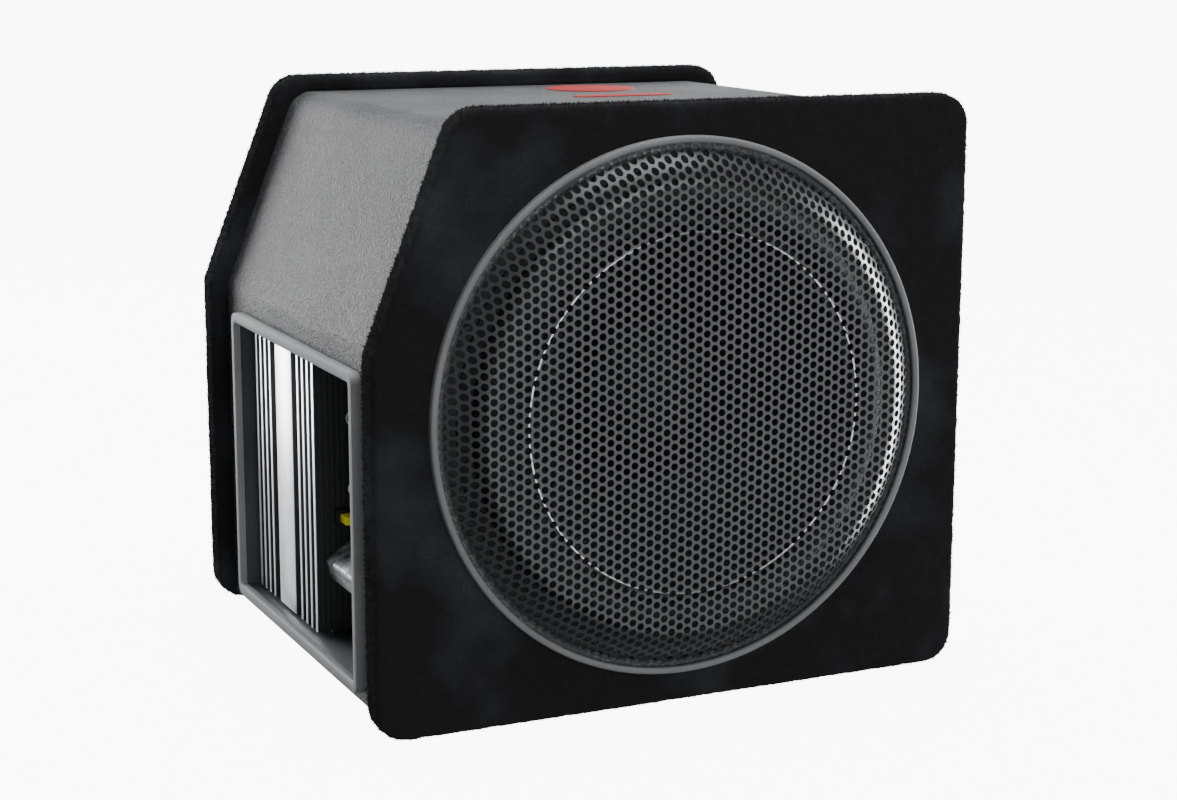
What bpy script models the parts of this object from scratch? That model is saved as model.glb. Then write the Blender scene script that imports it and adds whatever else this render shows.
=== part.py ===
"""Powered car subwoofer: a 12 inch driver in a sealed box, with its amplifier in a tray in the left wall.

All sizes below are millimetres and each mesh is written in metres. X runs left to right, Y from the
grille to the rear board, Z up. The origin is under the middle of the box, on the ground.
"""

import math

import bmesh
import bpy
from mathutils import Matrix, Vector

MM = 0.001
GAP = 0.3

# Box
WIDTH = 400.0
HEIGHT = 371.0
BOX_DEPTH = 352.0
GRILLE_PROUD = 19.4
BOARD_ZONE = 20.0          # one end board with its carpet
CARPET = 2.0
LIP = 2.0                  # carpet turned onto the inner face of an end board
CORNER = 20.0
SLANT_RUN = 55.5
SLANT_START = 230.3

# Body between the end boards
INSET_SIDE = 12.0
INSET_TOP = 11.0
INSET_BOTTOM = 3.0
BODY_CORNER = 18.0
VINYL = 1.2
WALL = 12.0

# Positions that other sizes hang on
LEFT = -WIDTH / 2
FRONT = -(BOX_DEPTH + GRILLE_PROUD) / 2 + GRILLE_PROUD
BODY_FRONT = FRONT + BOARD_ZONE - LIP
BODY_REAR = FRONT + BOX_DEPTH - BOARD_ZONE + LIP

# Printed disc on the top, its centre from the left edge and the front carpet face
MARK_PLACE = (268.0, 281.0)
MARK_RADIUS = 32.0
MARK_THICK = 0.4

# Woofer, radii and depths from the front carpet face
AXIS = (0.0, 185.5)
CUTOUT_RADIUS = 142.0
REBATE_RADIUS = 158.6
REBATE_FLOOR = 7.5
SCREW_CIRCLE = 152.2
SCREW_COUNT = 8
SPOKES = 8

# Amplifier tray, from the left edge (x), the front carpet face (y) and the ground (z)
TRAY_Y = (57.5, 295.5)
TRAY_Z = (20.5, 207.0)
TRAY_BACK = 68.4
TRAY_WALL = 2.5
TRIM_Y = (51.0, 301.0)
TRIM_Z = (14.5, 213.6)
TRIM_BAR = 7.0
TRIM_FACE = 5.0

# Amplifier
AMP_Y = (157.5, 282.0)
AMP_Z = (21.2, 204.0)
AMP_FACE = 16.0
AMP_WALL = 26.0
AMP_BACK = 64.0
END_PLATE = 1.7
BAND_HALF = 17.0
FIN_PLACES = (30.0, 40.3, 50.5)
FIN_WIDTH = 3.0
OUTER_FIN = 3.4
RIB_PITCH = 3.8
RIB_DEPTH = 0.8
SIDE_WALL = 3.2
BOSS_REACH = 9.6           # how far a screw boss reaches in from the side face
BOSS_CENTRE = 6.2
MOUNT_OFFSET = 4.2         # mounting holes outside the extrusion's sides
MOUNT_HEIGHTS = (38.0, 188.0)
WIRE_ENTRY = (219.0, 180.0)
PANEL = AMP_Y[0] + 0.8     # side wall behind its ribs
JACK_X = (42.5, 51.5)
JACK_Z = 163.5
KNOBS = {"gain_knob": 147.0, "filter_knob": 178.0, "bass_knob": 191.0}
KNOB_X = 50.0
LIGHT_PLACE = (42.5, 117.0)
SWITCH_Z = 131.0
FUSE_X = (31.0, 50.0)
FUSE_Z = (97.0, 102.3)
TERMINALS = (151.0, 138.0, 125.0, 112.0)
TERMINAL_END = 105.0
TRAY_LIP = 9.7             # where the tray's edge meets the back of the trim
BOARD_X = (58.0, 59.6)


def clear_scene():
    for item in list(bpy.data.objects):
        bpy.data.objects.remove(item, do_unlink=True)


def finish(name, colour, roughness, metallic=0.0):
    made = bpy.data.materials.new(name)
    made.use_nodes = True
    shader = made.node_tree.nodes["Principled BSDF"]
    shader.inputs["Base Color"].default_value = (*colour, 1.0)
    shader.inputs["Roughness"].default_value = roughness
    shader.inputs["Metallic"].default_value = metallic
    return made


# Mesh builders, all in millimetres


def outline(inset_left, inset_top, inset_right, inset_bottom, radii, steps=5):
    """Rounded outline in X and Z of an end board, pulled in by the given amounts, anticlockwise."""
    slope = Vector((SLANT_RUN, HEIGHT - SLANT_START)).normalized()
    inward = Vector((slope.y, -slope.x))
    on_slant = Vector((LEFT, SLANT_START)) + inward * inset_left
    left, right = LEFT + inset_left, -LEFT - inset_right
    top, bottom = HEIGHT - inset_top, inset_bottom
    knee = on_slant + slope * ((left - on_slant.x) / slope.x)
    brow = on_slant + slope * ((top - on_slant.y) / slope.y)
    corners = [Vector((left, bottom)), Vector((right, bottom)), Vector((right, top)), brow, knee]
    return [corner_arc(corners, i, radii[i], steps) for i in range(len(corners))]


def corner_arc(corners, i, radius, steps):
    """Points of the rounded corner i of a polygon."""
    here = corners[i]
    back = (corners[i - 1] - here).normalized()
    ahead = (corners[(i + 1) % len(corners)] - here).normalized()
    half = back.angle(ahead) / 2
    centre = here + (back + ahead).normalized() * (radius / math.sin(half))
    reach = radius / math.tan(half)
    start = here + back * reach - centre
    sweep = start.angle_signed(here + ahead * reach - centre)
    turns = (Matrix.Rotation(-sweep * k / steps, 2) for k in range(steps + 1))
    return [centre + turn @ start for turn in turns]


def flat(arcs):
    return [point for arc in arcs for point in arc]


def rectangle(low, high, radius=0.0, steps=4):
    corners = [Vector(p) for p in ((low[0], low[1]), (high[0], low[1]), high, (low[0], high[1]))]
    if not radius:
        return corners
    return flat(corner_arc(corners, i, radius, steps) for i in range(4))


def prism(points, low, high, axis="Y"):
    """Solid between low and high along an axis; points are in the other two axes, in X, Y, Z order."""
    bm = bmesh.new()
    places = {"X": lambda p, d: (d, p[0], p[1]), "Y": lambda p, d: (p[0], d, p[1]),
              "Z": lambda p, d: (p[0], p[1], d)}[axis]
    face = bm.faces.new([bm.verts.new(places(p, low)) for p in points])
    shift = Vector(places((0.0, 0.0), high - low))
    grown = bmesh.ops.extrude_face_region(bm, geom=[face], use_keep_orig=True)
    moved = [item for item in grown["geom"] if isinstance(item, bmesh.types.BMVert)]
    bmesh.ops.translate(bm, verts=moved, vec=shift)
    bmesh.ops.recalc_face_normals(bm, faces=bm.faces)
    return bm


def block(low, high):
    return prism(rectangle(low[:2], high[:2]), low[2], high[2], "Z")


def lathe(profile, centre, steps, axis="Y"):
    """Closed profile of (radius, place along axis) turned about an axis through centre."""
    bm = bmesh.new()
    rings = []
    for radius, along in profile:
        if radius < 1e-6:
            rings.append([bm.verts.new((0.0, 0.0, along))])
            continue
        angles = (2 * math.pi * k / steps for k in range(steps))
        rings.append([bm.verts.new((radius * math.cos(a), radius * math.sin(a), along)) for a in angles])
    closed = len(rings[0]) > 1 and len(rings[-1]) > 1
    pairs = zip(rings, rings[1:] + rings[:1]) if closed else zip(rings, rings[1:])
    for one, two in pairs:
        for k in range(steps):
            n = (k + 1) % steps
            if len(one) == 1 and len(two) == 1:
                break
            loop = [one[k % len(one)], one[n % len(one)], two[n % len(two)], two[k % len(two)]]
            bm.faces.new(list(dict.fromkeys(loop)))
    bmesh.ops.recalc_face_normals(bm, faces=bm.faces)
    turn = {"X": Matrix.Rotation(math.pi / 2, 4, "Y"), "Y": Matrix.Rotation(-math.pi / 2, 4, "X"),
            "Z": Matrix.Identity(4)}[axis]
    bm.transform(Matrix.Translation(centre) @ turn)
    return bm


def cylinder(centre, radius, low, high, axis, steps=16):
    """Cylinder from low to high along an axis; centre gives the other two places and zero along it."""
    return lathe([(0, low), (radius, low), (radius, high), (0, high)], centre, steps, axis)


def joined(meshes):
    whole = bmesh.new()
    for bm in meshes:
        data = bpy.data.meshes.new("piece")
        bm.to_mesh(data)
        whole.from_mesh(data)
        bm.free()
        bpy.data.meshes.remove(data)
    return whole


def place(name, bm, material=None, origin=(0.0, 0.0, 0.0), smooth=None):
    """Object from a millimetre mesh, with its origin at the given point."""
    bm.transform(Matrix.Scale(MM, 4) @ Matrix.Translation(-Vector(origin)))
    data = bpy.data.meshes.new(name)
    bm.to_mesh(data)
    bm.free()
    if material:
        data.materials.append(material)
    if smooth:
        data.shade_smooth()
        data.set_sharp_from_angle(angle=math.radians(smooth))
    thing = bpy.data.objects.new(name, data)
    thing.location = Vector(origin) * MM
    bpy.context.scene.collection.objects.link(thing)
    return thing


def cut(target, name, bm, operation="DIFFERENCE"):
    tool = place(name, bm)
    tool.hide_render = True
    tool.display_type = "WIRE"
    modifier = target.modifiers.new(name, "BOOLEAN")
    modifier.operation = operation
    modifier.solver = "EXACT"
    modifier.object = tool


def wire(name, route, radius, material):
    """Round wire through a route of points, smoothed by a spline."""
    data = bpy.data.curves.new(name, "CURVE")
    data.dimensions = "3D"
    data.bevel_depth = radius * MM
    data.bevel_resolution = 2
    data.use_fill_caps = True
    points = smooth_route([Vector(p) for p in route], 3)
    spline = data.splines.new("POLY")
    spline.points.add(len(points) - 1)
    for target, point in zip(spline.points, points):
        target.co = (*(point * MM), 1.0)
    data.materials.append(material)
    thing = bpy.data.objects.new(name, data)
    bpy.context.scene.collection.objects.link(thing)
    return thing


def smooth_route(route, steps):
    """Catmull-Rom curve through a route."""
    ends = [route[0] * 2 - route[1], *route, route[-1] * 2 - route[-2]]
    points = []
    for a, b, c, d in zip(ends, ends[1:], ends[2:], ends[3:]):
        for k in range(steps):
            t = k / steps
            points.append(0.5 * ((2 * b) + (c - a) * t + (2 * a - 5 * b + 4 * c - d) * t * t
                                 + (3 * b - a - 3 * c + d) * t ** 3))
    return points + [route[-1]]


def at(x, y, z):
    """Point given from the left edge, the front carpet face and the ground."""
    return (LEFT + x, FRONT + y, z)


def amp_box(x, y, z):
    """Block given by its ranges from the left edge, the front carpet face and the ground."""
    return block(at(x[0], y[0], z[0]), at(x[1], y[1], z[1]))


def woofer_lathe(profile, steps):
    return lathe(profile, (AXIS[0], FRONT, AXIS[1]), steps)


def screw_places():
    """Centre of each woofer screw, on a circle about the woofer's axis."""
    angles = (2 * math.pi * (k + 0.5) / SCREW_COUNT for k in range(SCREW_COUNT))
    return [(AXIS[0] + SCREW_CIRCLE * math.cos(a), FRONT, AXIS[1] + SCREW_CIRCLE * math.sin(a))
            for a in angles]


def screw_holes(low, high):
    return joined([cylinder(p, 2.3, low, high, "Y", 8) for p in screw_places()])


# Box


def board_outline(inset):
    radii = [CORNER - inset] * 4 + [10.0 - inset]
    return flat(outline(inset, inset, inset, inset, radii))


def body_arcs(inset, steps=4):
    radii = [6.0, 6.0, BODY_CORNER, BODY_CORNER, BODY_CORNER]
    radii = [max(radius - inset, 0.5) for radius in radii]
    return outline(INSET_SIDE + inset, INSET_TOP + inset, INSET_SIDE + inset, INSET_BOTTOM + inset,
                   radii, steps)


def build_end_boards(carpet, wood):
    front_face, rear_face = FRONT, FRONT + BOX_DEPTH
    shells = {
        "front_carpet": (front_face, front_face + BOARD_ZONE, front_face + CARPET,
                         front_face + BOARD_ZONE - LIP),
        "rear_carpet": (rear_face - BOARD_ZONE, rear_face, rear_face - BOARD_ZONE + LIP,
                        rear_face - CARPET),
    }
    for name, (low, high, inner_low, inner_high) in shells.items():
        shell = place(name, prism(board_outline(0.0), low, high), carpet)
        cut(shell, f"{name}_core", prism(board_outline(CARPET), inner_low, inner_high))
        mouth = (inner_high - 1, high + 1) if name == "front_carpet" else (low - 1, inner_low + 1)
        cut(shell, f"{name}_body_hole", prism(flat(body_arcs(-GAP)), *mouth))
        if name == "front_carpet":
            cut(shell, "carpet_hole", cylinder((AXIS[0], 0, AXIS[1]), REBATE_RADIUS, low - 1,
                                               inner_low + 1, "Y", 48))
    baffle = place("front_baffle", prism(board_outline(CARPET + GAP), front_face + CARPET + GAP,
                                         front_face + BOARD_ZONE - LIP - GAP), wood)
    opening = [(0, -1), (REBATE_RADIUS, -1), (REBATE_RADIUS, REBATE_FLOOR), (CUTOUT_RADIUS, REBATE_FLOOR),
               (CUTOUT_RADIUS, BOARD_ZONE + 1), (0, BOARD_ZONE + 1)]
    cut(baffle, "woofer_cutout", woofer_lathe(opening, 48))
    cut(baffle, "pilot_holes", screw_holes(6, 15.5))
    place("rear_board", prism(board_outline(CARPET + GAP), rear_face - BOARD_ZONE + LIP + GAP,
                              rear_face - CARPET - GAP), wood)


def tray_hole(grow, low, high):
    """Cutter through the left wall for the amplifier tray."""
    reach = TRAY_WALL + grow
    lows = (FRONT + TRAY_Y[0] - reach, TRAY_Z[0] - reach)
    highs = (FRONT + TRAY_Y[1] + reach, TRAY_Z[1] + reach)
    return prism(rectangle(lows, highs), LEFT + low, LEFT + high, "X")


def build_body(vinyl, wood):
    low, high = BODY_FRONT, BODY_REAR
    wrap = place("vinyl_wrap", prism(flat(body_arcs(0.0)), low, high), vinyl, smooth=30)
    cut(wrap, "wrap_core", prism(flat(body_arcs(VINYL)), low - 1, high + 1))
    cut(wrap, "wrap_tray_hole", tray_hole(GAP, 0, 30))
    outer = body_arcs(VINYL + GAP)
    names = ("bottom_board", "right_board", "top_board", "slanted_board", "left_board")
    for i, name in enumerate(names):
        after = (i + 1) % len(names)
        middle = len(outer[i]) // 2
        points = outer[i][middle:] + outer[after][:middle + 1]
        start, end = inner_corner(i), inner_corner(after)
        points = mitred(points, start, end)
        board = place(name, prism(points, low + GAP, high - GAP), wood)
        if name == "left_board":
            cut(board, "board_tray_hole", tray_hole(GAP, 0, 40))


def inner_corner(i):
    """Sharp inner corner i of the body's boards."""
    arc = outline_corners(VINYL + GAP + WALL)
    return arc[i]


def outline_corners(inset):
    radii = [1e-4] * 5
    arcs = outline(INSET_SIDE + inset, INSET_TOP + inset, INSET_SIDE + inset, INSET_BOTTOM + inset,
                   radii, 1)
    return [arc[0] for arc in arcs]


def mitred(points, start, end):
    """Board section, drawn back from its neighbours' mitres by half the gap at both ends."""
    along = (end - start).normalized() * GAP * 0.75
    section = [points[0] + along, *points[1:-1], points[-1] - along, end - along, start + along]
    return section


def build_mark(red):
    """Plain printed disc on the top."""
    top = HEIGHT - INSET_TOP + GAP
    centre = (LEFT + MARK_PLACE[0], FRONT + MARK_PLACE[1], 0)
    place("top_mark", cylinder(centre, MARK_RADIUS, top, top + MARK_THICK, "Z", 40), red)


# Grille


def grille_height(radius):
    """Distance that the grille stands proud at a radius."""
    shoulder_start, shoulder_end, flange, crown = 158.5, 135.0, 1.4, 1.6
    if radius >= shoulder_start:
        return flange
    if radius > shoulder_end:
        share = (shoulder_start - radius) / (shoulder_start - shoulder_end)
        return flange + (GRILLE_PROUD - crown - flange) * math.sin(share * math.pi / 2)
    return GRILLE_PROUD - crown * (radius / shoulder_end) ** 2


def build_grille(plastic, steel):
    section = [(164.3, -2.3), (164.3, -GAP), (166, -GAP), (166, -3.6), (165.2, -4.7), (164, -5),
               (162.6, -4.8), (161.6, -3.8), (161.6, -2.3)]
    place("grille_ring", woofer_lathe(section, 64), plastic, smooth=35)
    radii = [164, 158.5, 154.5, 149, 142, 135, 80, 0]
    thick = 1.0
    front = [(r, -grille_height(r)) for r in radii]
    back = [(r - thick if 135 < r < 158.5 else r, -grille_height(r) + thick * (0.6 if r > 135 else 1))
            for r in radii]
    place("grille_mesh", woofer_lathe(front + back[::-1], 48), steel, smooth=40)


# Woofer


def build_woofer(finishes):
    steel, rubber, paper, foam = (finishes[k] for k in ("steel", "rubber", "cone", "foam"))
    black, copper, brass = (finishes[k] for k in ("black_metal", "copper", "brass"))
    basket = place("woofer_basket", woofer_lathe(
        [(157.5, 1.5), (157.5, 5.5), (141.0, 5.5), (140.0, 12), (90, 84), (78, 92), (30, 92), (30, 89),
         (74, 89), (74, 80), (86, 80), (137, 11), (138, 1.5)], 48), black, smooth=35)
    cut(basket, "basket_windows", basket_windows())
    cut(basket, "flange_holes", screw_holes(0, 7))
    gasket = place("woofer_gasket", woofer_lathe([(142.5, 5.8), (157.5, 5.8), (157.5, 7.2), (142.5, 7.2)],
                                                 40), foam)
    cut(gasket, "gasket_holes", screw_holes(5, 8))
    screw = [(0, -0.9), (3.2, -0.4), (3.2, 1.2), (2.0, 1.2), (2.0, 15), (0, 15)]
    for k, centre in enumerate(screw_places()):
        place(f"woofer_screw_{k + 1}", lathe(screw, centre, 10), steel)

    roll_outer, roll_inner = surround_arc(10.0), surround_arc(9.0)
    lip = [(148, 1.2), (148, 0.2)]
    rim = [(113.5, 0.2), (113.5, 1.2)]
    place("surround", woofer_lathe(lip + roll_outer + rim + roll_inner[::-1], 40), rubber, smooth=40)
    centre = (AXIS[0], FRONT + 50, AXIS[1])
    moving = {
        "cone": ([(119, 1.5), (119, 2.7), (112.4, 2.9), (25.6, 58.6), (25.6, 57.2), (112.8, 1.5)], 40,
                 paper),
        "dust_cap": (dust_cap_profile(), 32, paper),
        "coil_former": ([(24.7, 50), (25.2, 50), (25.2, 110), (24.7, 110)], 32, brass),
        "voice_coil": ([(25.5, 85), (27.2, 85), (27.2, 107.6), (25.5, 107.6)], 32, copper),
    }
    for name, (profile, steps, material) in moving.items():
        place(name, woofer_lathe(profile, steps), material, centre, smooth=40)
    place("spider", woofer_lathe(spider_profile(), 32), finishes["cloth"], smooth=40)

    place("top_plate", woofer_lathe([(28, 92.3), (72, 92.3), (72, 100.3), (28, 100.3)], 32), steel,
          smooth=40)
    place("magnet", woofer_lathe([(34, 100.6), (76, 100.6), (76, 126), (34, 126)], 32),
          finishes["ferrite"], smooth=40)
    pole = [(8, 92), (24, 92), (24, 126.3), (72, 126.3), (72, 134), (8, 134)]
    place("pole_plate", woofer_lathe(pole, 32), steel, smooth=40)


def surround_arc(radius):
    """Half roll of the surround, from its outer foot to its inner one."""
    middle, foot = 129.0, 0.2 if radius > 9.5 else 1.2
    angles = (math.pi * k / 6 for k in range(7))
    return [(middle + radius * math.cos(a), foot - radius * math.sin(a) * 0.95) for a in angles]


def dust_cap_profile():
    rim, rise, skin, foot = 50.0, 16.0, 0.8, 40.0
    ball = (rim * rim + rise * rise) / (2 * rise)
    radii = [rim * k / 4 for k in range(5)]
    front = [(r, foot - rise + ball - math.sqrt(ball * ball - r * r)) for r in radii]
    return front + [(r, y + skin) for r, y in front[::-1]]


def spider_profile():
    inner, outer, waves, skin = 25.6, 75.0, 4, 0.7
    count = waves * 2
    front = [(inner + (outer - inner) * k / count, 76.6 + (1.6 if k % 2 else -1.6))
             for k in range(count + 1)]
    front += [(78.0, 78.9), (85.0, 78.9)]
    return front + [(r, y + skin) for r, y in front[::-1]]


def basket_windows():
    half, near, far = math.radians(16), 70.0, 165.0
    wedges = []
    for k in range(SPOKES):
        middle = 2 * math.pi * k / SPOKES
        corners = [(near, -half), (far, -half), (far, half), (near, half)]
        points = [(AXIS[0] + r * math.cos(middle + a), AXIS[1] + r * math.sin(middle + a))
                  for r, a in corners]
        wedges.append(prism(points, FRONT + 22, FRONT + 71))
    return joined(wedges)


def build_woofer_wiring(finishes):
    x, z = AXIS
    place("terminal_board", block((x - 101, FRONT + 58, z - 13), (x - 99, FRONT + 80, z + 13)),
          finishes["board"])
    for name, side in (("tinsel_lead_low", -6), ("tinsel_lead_high", 6)):
        lead = [(x - 98.4, FRONT + 64, z + side), (x - 85, FRONT + 61, z + side),
                (x - 62, FRONT + 66, z + side), (x - 42, FRONT + 66, z + side),
                (x - 29, FRONT + 63, z + side)]
        wire(name, lead, 0.7, finishes["copper"])
    entry_y, entry_z = WIRE_ENTRY
    for name, side in (("speaker_wire_red", 7), ("speaker_wire_black", -7)):
        height = entry_z + (2.4 if side > 0 else -2.4)
        route = [at(59, entry_y, height), at(66, entry_y, height), at(76, entry_y, height),
                 at(86, 205, height), at(90, 160, height + 1), at(88, 110, 184 + side / 2),
                 at(90, 78, z + side), at(97.6, 70, z + side)]
        wire(name, route, 1.5, finishes[name])


# Amplifier


def build_tray(finishes):
    wall, back = TRAY_WALL, LEFT + TRAY_BACK
    lows = (LEFT + TRAY_LIP, FRONT + TRAY_Y[0] - wall, TRAY_Z[0] - wall)
    highs = (back + wall, FRONT + TRAY_Y[1] + wall, TRAY_Z[1] + wall)
    tray = place("amp_tray", block(lows, highs), finishes["tray"])
    flange = block((LEFT + TRAY_LIP, lows[1] - 1.6, lows[2] - 1.7),
                   (LEFT + TRAY_LIP + 2, highs[1] + 1.6, highs[2] + 1.7))
    cut(tray, "tray_flange", flange, "UNION")
    cut(tray, "tray_hollow", amp_box((0, TRAY_BACK), TRAY_Y, TRAY_Z))
    cut(tray, "grommet_hole", cylinder(at(0, *WIRE_ENTRY), 8, TRAY_BACK - 2, TRAY_BACK + 4, "X", 20))
    grommet = [(5.6, TRAY_BACK - 1.5), (9.8, TRAY_BACK - 1.5), (9.8, TRAY_BACK - GAP),
               (7.7, TRAY_BACK - GAP), (7.7, TRAY_BACK + wall + GAP), (9.8, TRAY_BACK + wall + GAP),
               (9.8, TRAY_BACK + wall + 1.5), (5.6, TRAY_BACK + wall + 1.5)]
    place("wire_grommet", lathe(grommet, at(0, *WIRE_ENTRY), 16, "X"), finishes["rubber"])

    edge = rectangle((FRONT + TRIM_Y[0], TRIM_Z[0]), (FRONT + TRIM_Y[1], TRIM_Z[1]), 7)
    trim = place("trim_frame", prism(edge, LEFT + TRIM_FACE, LEFT + TRAY_LIP + 2, "X"), finishes["plastic"])
    inner = rectangle((FRONT + TRIM_Y[0] + TRIM_BAR, TRIM_Z[0] + TRIM_BAR),
                      (FRONT + TRIM_Y[1] - TRIM_BAR, TRIM_Z[1] - TRIM_BAR), 2)
    cut(trim, "trim_opening", prism(inner, LEFT, LEFT + 20, "X"))
    cut(trim, "trim_rebate", block((LEFT + 9.4, lows[1] - 1.9, lows[2] - 2.0),
                                   (LEFT + 20, highs[1] + 1.9, highs[2] + 2.0)))


def amp_section():
    """Half outline of the amplifier's extrusion seen along Z, on the side of lower Y from its middle."""
    middle = (AMP_Y[0] + AMP_Y[1]) / 2
    half = middle - AMP_Y[0]
    points = [(AMP_FACE, BAND_HALF), (AMP_WALL, BAND_HALF)]
    for place_y in FIN_PLACES:
        low, high = place_y - FIN_WIDTH / 2, place_y + FIN_WIDTH / 2
        points += [(AMP_WALL, low), (AMP_FACE, low), (AMP_FACE, high), (AMP_WALL, high)]
    outer = half - OUTER_FIN
    points += [(AMP_WALL, outer), (AMP_FACE, outer), (AMP_FACE, half)]
    ribs = int((AMP_BACK - AMP_FACE - 4) // RIB_PITCH)
    for k in range(ribs):
        start = AMP_FACE + 2.0 + RIB_PITCH * k
        points += [(start, half), (start + 0.4, half - RIB_DEPTH), (start + 2.2, half - RIB_DEPTH),
                   (start + 2.6, half)]
    wall, boss = half - SIDE_WALL, half - BOSS_REACH
    points += [(AMP_BACK, half), (AMP_BACK, boss), (AMP_BACK - 8, boss), (AMP_BACK - 8, wall),
               (AMP_WALL + 11, wall), (AMP_WALL + 11, boss), (AMP_WALL + 3, boss)]
    return middle, points


def build_amp_case(finishes):
    middle, half = amp_section()
    near = [at(x, middle - y, 0)[:2] for x, y in half]
    far = [at(x, middle + y, 0)[:2] for x, y in half]
    low, high = AMP_Z[0] + END_PLATE + GAP, AMP_Z[1] - END_PLATE - GAP
    body = place("amp_heatsink", prism(near + far[::-1], low, high, "Z"), finishes["heatsink"])
    cut(body, "connector_holes", connector_holes())
    bosses = [(x, y) for x in (AMP_WALL + 7, AMP_BACK - 4)
              for y in (AMP_Y[0] + BOSS_CENTRE, AMP_Y[1] - BOSS_CENTRE)]
    cut(body, "boss_holes", joined([cylinder(at(x, y, 0), 1.6, low - 1, high + 1, "Z", 10)
                                    for x, y in bosses]))
    plates = {"amp_bottom_plate": (AMP_Z[0], 1), "amp_top_plate": (AMP_Z[1], -1)}
    for name, (face, way) in plates.items():
        edges = sorted((face, face + way * END_PLATE))
        plate = place(name, amp_box((AMP_WALL + 0.5, AMP_BACK), AMP_Y, edges), finishes["black_metal"])
        cut(plate, f"{name}_holes", joined([cylinder(at(x, y, 0), 3.0, edges[0] - 1, edges[1] + 1, "Z", 8)
                                            for x, y in bosses]))
    base = place("amp_base_plate", amp_box((AMP_BACK + GAP, TRAY_BACK - 2.2), (AMP_Y[0] - 8, AMP_Y[1] + 8),
                                           AMP_Z), finishes["black_metal"])
    mounts = [(y, z) for y in (AMP_Y[0] - MOUNT_OFFSET, AMP_Y[1] + MOUNT_OFFSET) for z in MOUNT_HEIGHTS]
    base_holes = [cylinder(at(0, y, z), 2.2, AMP_BACK - 1, TRAY_BACK + 1, "X", 8) for y, z in mounts]
    base_holes.append(cylinder(at(0, *WIRE_ENTRY), 11, AMP_BACK - 1, TRAY_BACK + 1, "X", 20))
    cut(base, "base_holes", joined(base_holes))
    cut(bpy.data.objects["amp_tray"], "mount_holes",
        joined([cylinder(at(0, y, z), 2.2, TRAY_BACK - 1, TRAY_BACK + 5, "X", 8) for y, z in mounts]))


def connector_holes():
    low, high = FRONT + AMP_Y[0] - 2, FRONT + PANEL + 5
    holes = [cylinder((LEFT + x, 0, JACK_Z), 4.4, low, high, "Y", 14) for x in JACK_X]
    holes += [cylinder((LEFT + KNOB_X, 0, z), 2.2, low, high, "Y", 12) for z in KNOBS.values()]
    holes.append(cylinder((LEFT + LIGHT_PLACE[0], 0, LIGHT_PLACE[1]), 3.1, low, high, "Y", 16))
    holes.append(block((LEFT + 47.8, low, SWITCH_Z - 5), (LEFT + 52.2, high, SWITCH_Z + 5)))
    holes.append(block((LEFT + 33, low, FUSE_Z[0] - 1), (LEFT + 48, high, FUSE_Z[1] + 1)))
    holes.append(block((LEFT + 34, low, 62), (LEFT + 54, high, 80)))
    return joined(holes)


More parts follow.
